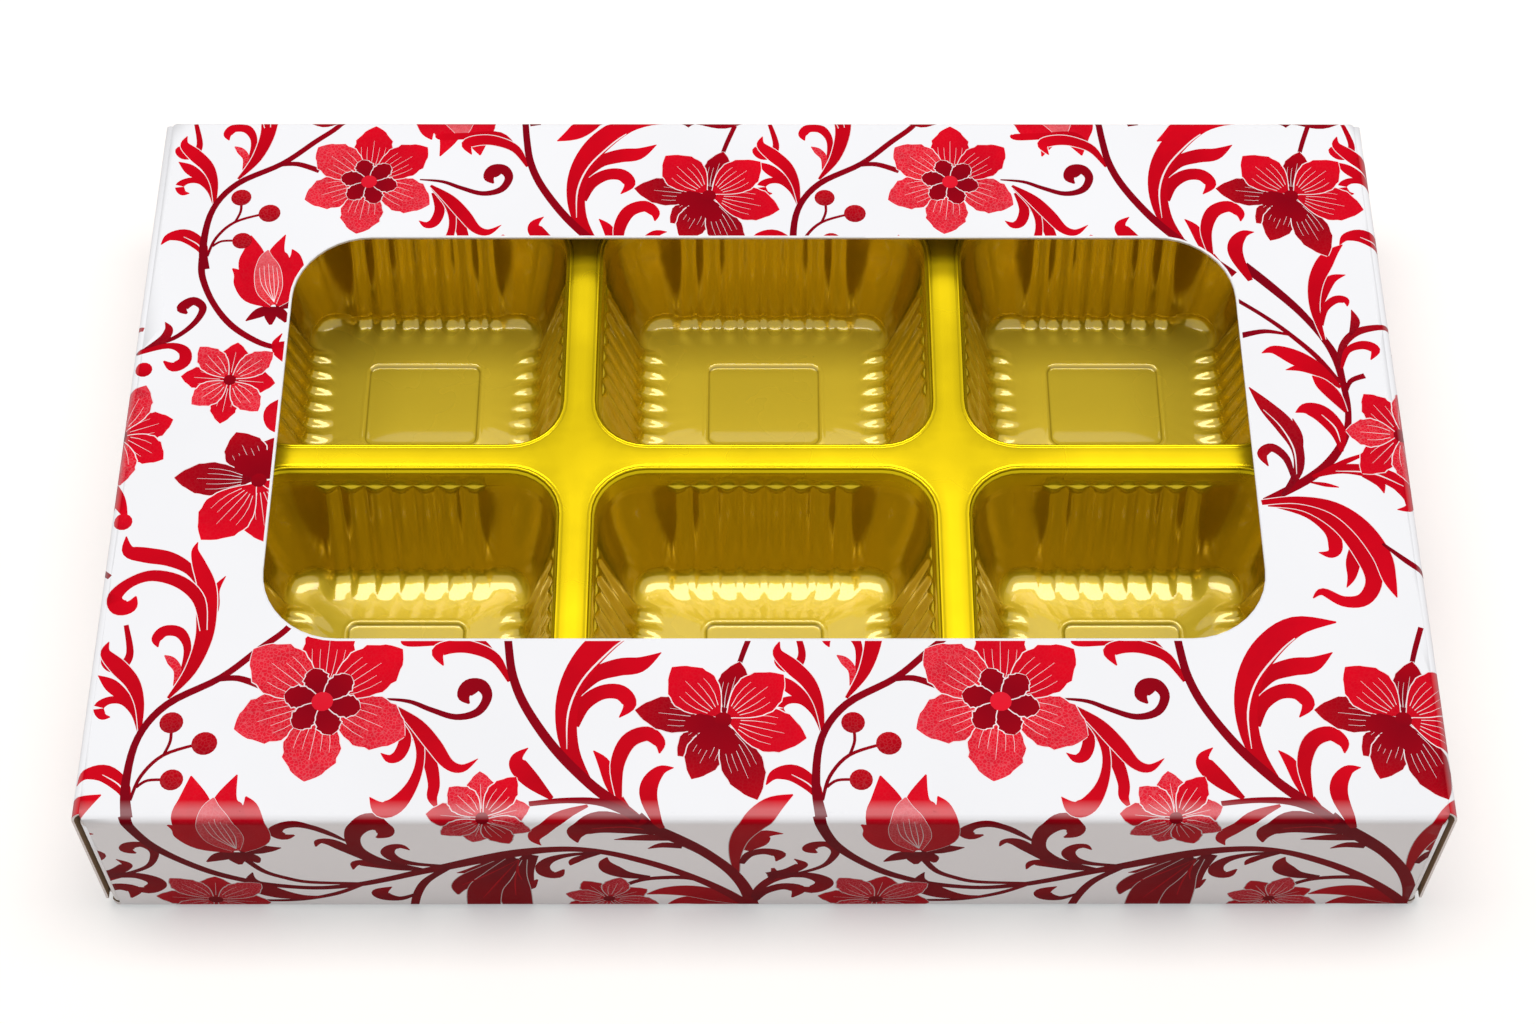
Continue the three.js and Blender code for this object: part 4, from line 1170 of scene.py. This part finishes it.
def cavity_object(name, width, length):
    """Plain cavity whose stations carry the flutes' phase, weight and direction for the node tree."""
    stations = ring_layout(width, length)
    count = len(stations)
    corners, push, weights = [], [], []
    rings = cavity_rings(width, length)
    for half_x, half_y, z, corner, weight, tilt in rings:
        points, outward = ring_points(stations, half_x, half_y, corner)
        corners.append(np.column_stack([points, np.full(count, z)]))
        lean = radians(tilt)
        push.append(np.column_stack([outward * -cos(lean), np.full(count, sin(lean))]))
        weights.append(np.array([weight * (LONG_HEEL if side % 2 and tilt > HEEL_TILT else 1.0)
                                 for side, *_ in stations]))
    corners.append(np.array([[0, 0, rings[-1][2]]]))
    push.append(np.zeros((1, 3)))
    weights.append(np.zeros(1))
    faces = []
    for row in range(len(rings) - 1):
        for k in range(count):
            a, b = row * count + k, row * count + (k + 1) % count
            faces.append((a, b, b + count, a + count))
    last = (len(rings) - 1) * count
    faces += [(last + k, last + (k + 1) % count, last + count) for k in range(count)]
    mesh = bpy.data.meshes.new(name)
    mesh.from_pydata((np.vstack(corners) * MM).tolist(), [], faces)
    phase = np.array([s[3] for s in stations] * len(rings) + [0.0], np.float32)
    mesh.attributes.new("phase", "FLOAT", "POINT").data.foreach_set("value", phase)
    mesh.attributes.new("weight", "FLOAT", "POINT").data.foreach_set(
        "value", np.concatenate(weights).astype(np.float32))
    mesh.attributes.new("push", "FLOAT_VECTOR", "POINT").data.foreach_set(
        "vector", np.vstack(push).astype(np.float32).ravel())
    cavity = bpy.data.objects.new(name, mesh)
    bpy.context.scene.collection.objects.link(cavity)
    return cavity


def deck_mesh(tray, material):
    """Flat deck with six mouths and a turned-down lip, about the middle of the tray at deck height."""
    mouths = []
    for column in (-1, 0, 1):
        width = (tray.side_width if column else tray.middle_width) / MM
        length = tray.cavity_length / MM
        ring = ring_points(ring_layout(width, length), width / 2 + MOUTH_RIM, length / 2 + MOUTH_RIM,
                           MOUTH_CORNER + MOUTH_RIM)[0]
        for row in (-0.5, 0.5):
            shift = (column * tray.column_pitch / MM, row * tray.row_pitch / MM)
            mouths.append([tuple(p + shift) for p in ring])
    lip = []
    for inset, z in LIP_PROFILE:
        half_x, half_y = TRAY_HALF_X - inset, TRAY_HALF_Y - inset
        loop = rounded_loop((-half_x, -half_y), (half_x, half_y), TRAY_CORNER - inset, 8)
        lip.append([(x, y, z) for x, y in loop])
    rim = [(x, y) for x, y, _ in lip[0]]
    divider = (tray.middle_width / 2 + tray.column_pitch - tray.side_width / 2) / 2 / MM
    row_reach = (tray.column_pitch + tray.side_width / 2) / MM - CROWN_END
    column_reach = (tray.row_pitch + tray.cavity_length) / 2 / MM - CROWN_END
    ridges = [[(x, 0.0) for x in np.linspace(-row_reach, row_reach, ROW_RIDGE_POINTS)]]
    ridges += [[(x, y) for y in np.linspace(-column_reach, column_reach, COLUMN_RIDGE_POINTS)]
               for x in (-divider, divider)]
    ridge_lines = [pair for ridge in ridges for pair in zip(ridge, ridge[1:])]
    flat, faces, _ = triangulate(loop_edges([rim] + mouths), ridge_lines)
    corners = [(x, y, CROWN if min(abs(y), abs(abs(x) - divider)) < 1e-3 else 0.0) for x, y in flat]
    polygons = [tuple(map(int, f)) for f in faces]
    count = len(rim)
    first = len(corners)
    corners += [point for loop in lip for point in loop]
    for row in range(len(lip) - 1):
        for k in range(count):
            a, b = first + row * count + k, first + row * count + (k + 1) % count
            polygons.append((a + count, b + count, b, a))
    mesh = bpy.data.meshes.new("gold_tray")
    mesh.materials.append(material)
    mesh.from_pydata((np.array(corners) * MM).tolist(), [], polygons)
    return mesh


def tray_nodes():
    """Node tree that flutes the cavities, sets them in the deck in rows and columns, and welds the sheet."""
    tree = bpy.data.node_groups.new("Cavity Tray", "GeometryNodeTree")
    face = tree.interface
    face.new_socket("Deck", in_out="INPUT", socket_type="NodeSocketGeometry")
    for name, kind in (("Middle Cavity", "NodeSocketObject"), ("Side Cavity", "NodeSocketObject"),
                       ("Column Pitch", "NodeSocketFloat"), ("Row Pitch", "NodeSocketFloat"),
                       ("Flute Depth", "NodeSocketFloat"), ("Seat", "NodeSocketVector"),
                       ("Sheet Material", "NodeSocketMaterial")):
        face.new_socket(name, in_out="INPUT", socket_type=kind)
    face.new_socket("Tray", in_out="OUTPUT", socket_type="NodeSocketGeometry")
    given = tree.nodes.new("NodeGroupInput")

    def node(kind, links=(), **options):
        made = tree.nodes.new(kind)
        for key, value in options.items():
            setattr(made, key, value)
        for socket, value in links:
            if isinstance(value, bpy.types.NodeSocket):
                tree.links.new(value, made.inputs[socket])
            else:
                made.inputs[socket].default_value = value
        return made

    def attribute(name, kind):
        return node("GeometryNodeInputNamedAttribute", [("Name", name)], data_type=kind).outputs["Attribute"]

    def math(operation, *values):
        return node("ShaderNodeMath", list(enumerate(values)), operation=operation).outputs[0]

    scallop = math("ABSOLUTE", math("SINE", math("MULTIPLY", attribute("phase", "FLOAT"), pi)))
    weighted = math("MULTIPLY", scallop, attribute("weight", "FLOAT"))
    depth = math("MULTIPLY", weighted, given.outputs["Flute Depth"])
    offset = node("ShaderNodeVectorMath", [(0, attribute("push", "FLOAT_VECTOR")), ("Scale", depth)],
                  operation="SCALE").outputs[0]

    def fluted(socket):
        """The cavity of an input, with its stations pushed in to make the flutes."""
        plain = node("GeometryNodeObjectInfo", [("Object", given.outputs[socket])]).outputs["Geometry"]
        return node("GeometryNodeSetPosition", [("Geometry", plain), ("Offset", offset)]).outputs["Geometry"]

    def rows(points, cavity):
        """A cavity set at each point."""
        placed = node("GeometryNodeInstanceOnPoints", [("Points", points), ("Instance", cavity)])
        return placed.outputs["Instances"]

    pitch, row = given.outputs["Column Pitch"], given.outputs["Row Pitch"]
    grid = node("GeometryNodeMeshGrid", [("Size X", math("MULTIPLY", pitch, 2.0)), ("Size Y", row),
                                         ("Vertices X", 2), ("Vertices Y", 2)]).outputs["Mesh"]
    start = node("ShaderNodeCombineXYZ", [("Y", math("MULTIPLY", row, -0.5))]).outputs[0]
    step = node("ShaderNodeCombineXYZ", [("Y", row)]).outputs[0]
    line = node("GeometryNodeMeshLine", [("Count", 2), ("Start Location", start), ("Offset", step)])
    joined = node("GeometryNodeJoinGeometry")
    for part in (rows(grid, fluted("Side Cavity")), rows(line.outputs["Mesh"], fluted("Middle Cavity")),
                 given.outputs["Deck"]):
        tree.links.new(part, joined.inputs[0])
    seated = node("GeometryNodeTransform", [("Geometry", joined.outputs[0]),
                                            ("Translation", given.outputs["Seat"])])
    whole = node("GeometryNodeRealizeInstances", [("Geometry", seated.outputs[0])]).outputs[0]
    welded = node("GeometryNodeMergeByDistance", [("Geometry", whole), ("Distance", WELD_GAP * MM)])
    smooth = node("GeometryNodeSetShadeSmooth", [("Geometry", welded.outputs[0])]).outputs[0]
    coated = node("GeometryNodeSetMaterial", [("Geometry", smooth),
                                              ("Material", given.outputs["Sheet Material"])])
    out = tree.nodes.new("NodeGroupOutput")
    tree.links.new(coated.outputs[0], out.inputs[0])
    return tree


def settle_mesh(piece):
    """Replaces a piece's mesh by what its modifiers make of it, and removes them."""
    bpy.context.view_layer.update()
    depsgraph = bpy.context.evaluated_depsgraph_get()
    mesh = bpy.data.meshes.new_from_object(piece.evaluated_get(depsgraph))
    piece.modifiers.clear()
    piece.data = mesh


def make_tray(tray):
    """The formed tray: fluted cavities in a deck, one sheet of even thickness."""
    material = gold_sheet(tray)
    length = tray.cavity_length / MM
    cavities = {"Middle Cavity": cavity_object("middle_cavity", tray.middle_width / MM, length),
                "Side Cavity": cavity_object("side_cavity", tray.side_width / MM, length)}
    piece = bpy.data.objects.new("gold_tray", deck_mesh(tray, material))
    bpy.context.scene.collection.objects.link(piece)
    tree = tray_nodes()
    modifier = piece.modifiers.new("Cavity Tray", "NODES")
    modifier.node_group = tree
    values = {**cavities, "Column Pitch": tray.column_pitch, "Row Pitch": tray.row_pitch,
              "Flute Depth": tray.flute_depth, "Seat": (0.0, TRAY_MIDDLE_Y * MM, DECK_TOP * MM),
              "Sheet Material": material}
    for item in tree.interface.items_tree:
        if item.in_out == "INPUT" and item.name in values:
            modifier[item.identifier] = values[item.name]
    settle_mesh(piece)
    for cavity in cavities.values():
        bpy.data.objects.remove(cavity)
    wall = piece.modifiers.new("Sheet", "SOLIDIFY")
    wall.thickness = tray.sheet
    wall.offset = -1
    settle_mesh(piece)
    piece.data.materials.clear()
    piece.data.materials.append(material)
    piece.data.polygons.foreach_set("material_index", np.zeros(len(piece.data.polygons), np.int32))
    for name in ("phase", "weight", "push"):
        if name in piece.data.attributes:
            piece.data.attributes.remove(piece.data.attributes[name])
    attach(piece, "tray")
    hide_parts("tray")


class Finish:
    """A node material about one Principled shader."""

    def __init__(self, name, **sockets):
        self.material = bpy.data.materials.new(name)
        self.material.use_nodes = True
        self.tree = self.material.node_tree
        self.shader = self.tree.nodes["Principled BSDF"]
        self.place = self.node("ShaderNodeTexCoord").outputs["Object"]
        self.feed(self.shader, sockets)

    def node(self, kind, sockets=None, **options):
        """Adds a node, with its options set and its sockets fed."""
        made = self.tree.nodes.new(kind)
        for key, value in options.items():
            setattr(made, key, value)
        self.feed(made, sockets or {})
        return made

    def feed(self, node, sockets):
        """Links or sets a node's inputs."""
        for key, value in sockets.items():
            if isinstance(value, bpy.types.NodeSocket):
                self.tree.links.new(value, node.inputs[key])
            else:
                node.inputs[key].default_value = value

    def noise(self, scale, detail=2.0, stretch=(1, 1, 1)):
        """Noise on the piece's own coordinates, in cells a metre."""
        place = self.node("ShaderNodeMapping", {"Vector": self.place, "Scale": stretch}).outputs[0]
        made = self.node("ShaderNodeTexNoise", {"Vector": place, "Scale": scale, "Detail": detail})
        return made.outputs["Fac"]

    def remap(self, value, low, high, to_low=0.0, to_high=1.0):
        """A value spread from low to high over another range, and held beyond it."""
        return self.node("ShaderNodeMapRange", {"Value": value, "From Min": low, "From Max": high,
                                                "To Min": to_low, "To Max": to_high}).outputs["Result"]

    def math(self, operation, a, b=0.0):
        """One sum of two values."""
        return self.node("ShaderNodeMath", {0: a, 1: b}, operation=operation).outputs[0]

    def mix(self, share, a, b):
        """A colour part of the way from a to b."""
        return self.node("ShaderNodeMix", {0: share, 6: a, 7: b}, data_type="RGBA").outputs[2]

    def bump(self, height, strength, distance):
        """Raises the surface by a height."""
        made = self.node("ShaderNodeBump", {"Height": height, "Strength": strength, "Distance": distance})
        self.feed(self.shader, {"Normal": made.outputs[0]})


def rgba(colour):
    """A colour with full cover."""
    return (*colour, 1.0)


def shade(colour, share):
    """A colour lightened or darkened by a factor."""
    return tuple(c * share for c in colour)


def printed_board(board):
    """Coated white board with the scroll's inks, engraved petals and a satin varnish."""
    finish = Finish("scroll_print", **{"Specular IOR Level": 0.015})
    # The ink attribute already holds the painted shade of the walls and the paled inks of the painted crease
    # highlights.
    ink = finish.node("ShaderNodeAttribute", attribute_name="ink")
    depth = finish.node("ShaderNodeAttribute", attribute_name="engraving").outputs["Fac"]
    net = finish.node("ShaderNodeTexVoronoi", {"Vector": finish.place, "Scale": ENGRAVING_NET},
                      feature="DISTANCE_TO_EDGE").outputs["Distance"]
    lines = finish.math("MULTIPLY", finish.remap(net, 0.0, 0.12, 0.2, 0.0), finish.remap(depth, 0.3, 1.0))
    engraved = finish.mix(lines, ink.outputs["Color"], rgba(ENGRAVED_PINK))
    stipple = finish.remap(finish.noise(STIPPLE_GRAIN, 3.0), 0.42, 0.66, 0.0, 0.15)
    inked = finish.mix(finish.math("MULTIPLY", stipple, depth), engraved, rgba(STIPPLE_RED))
    mottle = finish.remap(finish.noise(MOTTLE_GRAIN, 3.0), 0.35, 0.7, 0.0, 0.16)
    mottled = finish.mix(mottle, inked, rgba(MOTTLE_RED))
    paper = finish.mix(finish.remap(finish.noise(PAPER_GRAIN, 4.0), 0.35, 0.7), rgba(board.white),
                       rgba(shade(board.white, 0.972)))
    finish.feed(finish.shader, {
        "Base Color": finish.mix(ink.outputs["Alpha"], paper, mottled),
        "Roughness": finish.remap(finish.noise(VARNISH_GRAIN), 0.3, 0.7, 0.30, 0.40)})
    finish.bump(finish.noise(PRINT_GRAIN, 3.0), 0.06, COATING_RELIEF)
    return finish.material


def white_board(board):
    """Coated white board without print."""
    finish = Finish("coated_white", **{"Specular IOR Level": 0.25})
    finish.feed(finish.shader, {
        "Base Color": finish.mix(finish.remap(finish.noise(PAPER_GRAIN, 4.0), 0.35, 0.7), rgba(board.white),
                                 rgba(shade(board.white, 0.965))),
        "Roughness": finish.remap(finish.noise(VARNISH_GRAIN), 0.3, 0.7, 0.34, 0.46)})
    finish.bump(finish.noise(COATING_GRAIN, 3.0), 0.12, COATING_RELIEF)
    return finish.material


def inside_board(board):
    """Uncoated grey-brown inside of the board, with pulp flecks and fibres."""
    finish = Finish("board_inside", **{"Specular IOR Level": 0.3})
    fibre = finish.noise(FIBRE_GRAIN, 4.0, (0.25, 1.0, 1.0))
    fleck = finish.remap(finish.noise(FLECK_GRAIN), 0.62, 0.72, 0.0, 0.35)
    base = finish.mix(finish.remap(fibre, 0.3, 0.7), rgba(shade(board.inside, 0.86)), rgba(board.inside))
    finish.feed(finish.shader, {"Base Color": finish.mix(fleck, base, rgba(shade(board.inside, 0.6))),
                                "Roughness": finish.remap(fibre, 0.3, 0.7, 0.72, 0.86)})
    finish.bump(fibre, 0.3, FIBRE_RELIEF)
    return finish.material


def cut_board(board):
    """Die-cut edge: white plies with a darker pulp line."""
    finish = Finish("board_edge", **{"Specular IOR Level": 0.3})
    ply = finish.noise(PLY_GRAIN)
    pulp = rgba(shade(board.cut, 0.88))
    finish.feed(finish.shader, {
        "Base Color": finish.mix(finish.remap(ply, 0.35, 0.65), pulp, rgba(board.cut)),
        "Roughness": finish.remap(ply, 0.3, 0.7, 0.65, 0.8)})
    finish.bump(ply, 0.25, FIBRE_RELIEF)
    return finish.material


def gold_sheet(tray):
    """Metallised gold sheet: saturated on the deck, with painted shade on the drawn walls, towards the mouth
    rims and in the creases, and a painted sheen on the glossy floors.
    """
    finish = Finish("gold_film", **{"Specular IOR Level": 0.05, "Coat Roughness": 0.045, "Coat IOR": 1.75})
    height = finish.node("ShaderNodeSeparateXYZ", {0: finish.place}).outputs["Z"]
    below_deck = finish.remap(height, *WALL_FADE)
    above_floor = finish.remap(height, *FLOOR_FADE)
    drawn = finish.math("MULTIPLY", above_floor, below_deck)
    cloud = finish.noise(CLOUD_GRAIN, 4.0)
    dull, bright, rim_shade, shadow = (rgba(shade(tray.gold, share)) for share in (0.84, 1.14, 0.4, 0.25))
    # Painted sheen: the floors' gold is paled towards a milky tint, and darkened a little.
    floor = rgba(shade(between(tray.gold, PAINTED_FLOOR_SHEEN, 0.14), 0.9))
    sheet = finish.mix(finish.remap(cloud, 0.36, 0.64), dull, bright)
    # Painted shade: the deck darkens from its crown ridges down towards the mouth rims.
    sheet = finish.mix(finish.remap(height, *DECK_SHADE_HEIGHTS, 0.4, 0.0), sheet, rim_shade)
    sheet = finish.mix(above_floor, floor, sheet)
    # Painted shade: the walls between deck and floor take a darker gold; the drawn film is duller there as
    # well.
    sheet = finish.mix(drawn, sheet, rgba(SHADED_WALL_GOLD))
    # Painted shade: dark lines in the groove round each mouth and at the step round each foot.
    for low, high in SHADED_CREASE_BANDS:
        middle = (low + high) / 2
        line = finish.math("MULTIPLY", finish.remap(height, low, middle), finish.remap(height, high, middle))
        sheet = finish.mix(finish.math("MULTIPLY", line, 0.7), sheet, shadow)
    haze = finish.remap(cloud, 0.3, 0.7, 0.255, 0.29)
    gloss = finish.math("MULTIPLY", below_deck, 0.75)
    finish.feed(finish.shader, {
        "Base Color": sheet,
        "Metallic": finish.remap(above_floor, 0.0, 1.0, 0.2, 0.75),
        "Roughness": finish.math("SUBTRACT", haze, finish.math("MULTIPLY", drawn, 0.10)),
        "Coat Weight": finish.math("SUBTRACT", gloss, finish.math("MULTIPLY", drawn, 0.4))})
    finish.bump(cloud, 0.2, SHEET_RELIEF)
    return finish.material


def camera_ray_share(tree):
    """Share of a ray that meets the stage from the camera, a gloss or a glass."""
    path = tree.nodes.new("ShaderNodeLightPath")
    total = path.outputs["Is Camera Ray"]
    for name in ("Is Glossy Ray", "Is Transmission Ray"):
        adder = tree.nodes.new("ShaderNodeMath")
        adder.operation = "MAXIMUM"
        tree.links.new(total, adder.inputs[0])
        tree.links.new(path.outputs[name], adder.inputs[1])
        total = adder.outputs[0]
    return total


def make_floor(stage):
    """Plain floor that looks near white to the camera and keeps the box's shadow."""
    mesh = bpy.data.meshes.new("floor")
    corners = [(x * FLOOR_HALF, y * FLOOR_HALF, 0.0) for x, y in ((-1, -1), (1, -1), (1, 1), (-1, 1))]
    mesh.from_pydata(corners, [], [(0, 1, 2, 3)])
    floor = bpy.data.objects.new("floor", mesh)
    bpy.context.scene.collection.objects.link(floor)
    finish = Finish("floor", Roughness=0.9, **{"Base Color": rgba(stage.floor), "Emission Color": FLOOR_GLOW})
    seen = finish.math("MULTIPLY", camera_ray_share(finish.tree), FLOOR_LIFT)
    finish.feed(finish.shader, {"Emission Strength": seen})
    mesh.materials.append(finish.material)


def make_lamp(stage):
    """Softbox over the box."""
    lamp = bpy.data.lights.new("key", "AREA")
    lamp.shape = "RECTANGLE"
    lamp.size, lamp.size_y = LAMP_SIZE
    lamp.energy = stage.key_power
    holder = bpy.data.objects.new("key", lamp)
    holder.location = LAMP_PLACE
    holder.rotation_euler = (Vector(LAMP_AIM) - Vector(LAMP_PLACE)).to_track_quat("-Z", "Y").to_euler()
    bpy.context.scene.collection.objects.link(holder)


def make_world(stage):
    """Even surround that is white to the camera and in reflections."""
    world = bpy.data.worlds.new("surround")
    bpy.context.scene.world = world
    world.use_nodes = True
    tree = world.node_tree
    even = tree.nodes["Background"]
    even.inputs["Color"].default_value = (1, 1, 1, 1)
    even.inputs["Strength"].default_value = stage.sky
    seen = tree.nodes.new("ShaderNodeBackground")
    seen.inputs["Color"].default_value = (1, 1, 1, 1)
    seen.inputs["Strength"].default_value = 1.0
    choose = tree.nodes.new("ShaderNodeMixShader")
    tree.links.new(camera_ray_share(tree), choose.inputs[0])
    tree.links.new(even.outputs[0], choose.inputs[1])
    tree.links.new(seen.outputs[0], choose.inputs[2])
    tree.links.new(choose.outputs[0], tree.nodes["World Output"].inputs["Surface"])


def make_camera(stage):
    """Camera in front of the box, looking down at it."""
    pitch, yaw, roll = (radians(a) for a in (CAMERA_PITCH, CAMERA_YAW, CAMERA_ROLL))
    swing = Matrix.Rotation(yaw, 3, "Z")
    ahead = swing @ Vector((0, cos(pitch), -sin(pitch)))
    up = swing @ Vector((0, sin(pitch), cos(pitch)))
    right = swing @ Vector((1, 0, 0))
    level_right = right * cos(roll) + up * sin(roll)
    level_up = up * cos(roll) - right * sin(roll)
    frame_of_view = Matrix((level_right, level_up, -ahead)).transposed()
    data = bpy.data.cameras.new("camera")
    data.sensor_width = SENSOR_WIDTH
    data.lens = stage.lens
    camera = bpy.data.objects.new("camera", data)
    camera.matrix_world = Matrix.Translation(Vector(CAMERA_PLACE) * MM) @ frame_of_view.to_4x4()
    bpy.context.scene.collection.objects.link(camera)
    bpy.context.scene.camera = camera


PRINTED = ("scroll_print", "board_inside", "board_edge")


class CHOCOLATE_BOX_OT_sleeve(bpy.types.Operator):
    """Fold the printed sleeve with its window"""
    bl_idname = "chocolate_box.sleeve"
    bl_label = "Carton Sleeve"

    def execute(self, context):
        board = settings().board
        make_sleeve(board, [printed_board(board), inside_board(board), cut_board(board)])
        return {"FINISHED"}


class CHOCOLATE_BOX_OT_closures(bpy.types.Operator):
    """Hang the two closure flaps on the lid"""
    bl_idname = "chocolate_box.closures"
    bl_label = "Closure Flaps"

    def execute(self, context):
        materials = [bpy.data.materials[name] for name in PRINTED]
        for side in SIDES:
            make_closure(side, settings().board, materials)
        return {"FINISHED"}


class CHOCOLATE_BOX_OT_tongues(bpy.types.Operator):
    """Fold the two tongues below the closure flaps"""
    bl_idname = "chocolate_box.tongues"
    bl_label = "Tuck Tongues"

    def execute(self, context):
        materials = [bpy.data.materials[name] for name in PRINTED]
        for side in SIDES:
            make_tongue(side, settings().board, materials)
        return {"FINISHED"}


class CHOCOLATE_BOX_OT_dust_flaps(bpy.types.Operator):
    """Fold in the four dust flaps"""
    bl_idname = "chocolate_box.dust_flaps"
    bl_label = "Dust Flaps"

    def execute(self, context):
        board = settings().board
        materials = [white_board(board)] + [bpy.data.materials[name] for name in PRINTED[1:]]
        for side in SIDES:
            for edge in EDGES:
                make_dust_flap(side, edge, board, materials)
        return {"FINISHED"}


class CHOCOLATE_BOX_OT_tray(bpy.types.Operator):
    """Form the gold cavity tray"""
    bl_idname = "chocolate_box.tray"
    bl_label = "Cavity Tray"

    def execute(self, context):
        make_tray(settings().tray)
        return {"FINISHED"}


class CHOCOLATE_BOX_OT_stage(bpy.types.Operator):
    """Set the floor, the light and the camera"""
    bl_idname = "chocolate_box.stage"
    bl_label = "Stage"

    def execute(self, context):
        stage = settings().stage
        make_floor(stage)
        make_world(stage)
        make_lamp(stage)
        make_camera(stage)
        context.scene.view_settings.view_transform = "Standard"
        return {"FINISHED"}


OPERATORS = (CHOCOLATE_BOX_OT_stage, CHOCOLATE_BOX_OT_sleeve, CHOCOLATE_BOX_OT_closures,
             CHOCOLATE_BOX_OT_tongues, CHOCOLATE_BOX_OT_dust_flaps, CHOCOLATE_BOX_OT_tray)


class VIEW3D_PT_chocolate_box(bpy.types.Panel):
    """Steps that dress the chocolate box"""
    bl_label = "Chocolate Box"
    bl_space_type = "VIEW_3D"
    bl_region_type = "UI"
    bl_category = "Chocolate Box"

    def draw(self, context):
        for operator in OPERATORS:
            self.layout.operator(operator.bl_idname)


CLASSES = (BoardSettings, PrintSettings, TraySettings, StageSettings, ChocolateBoxSettings, *OPERATORS,
           VIEW3D_PT_chocolate_box)


def register():
    """Adds the settings, the operators and the panel to Blender."""
    for cls in CLASSES:
        bpy.utils.register_class(cls)
    bpy.types.Scene.chocolate_box = bpy.props.PointerProperty(type=ChocolateBoxSettings)


def unregister():
    """Takes them out again."""
    del bpy.types.Scene.chocolate_box
    for cls in reversed(CLASSES):
        bpy.utils.unregister_class(cls)


def main():
    """Dresses the whole box."""
    register()
    bpy.ops.chocolate_box.stage()
    bpy.ops.chocolate_box.sleeve()
    bpy.ops.chocolate_box.closures()
    bpy.ops.chocolate_box.tongues()
    bpy.ops.chocolate_box.dust_flaps()
    bpy.ops.chocolate_box.tray()


if __name__ == "__main__":
    main()
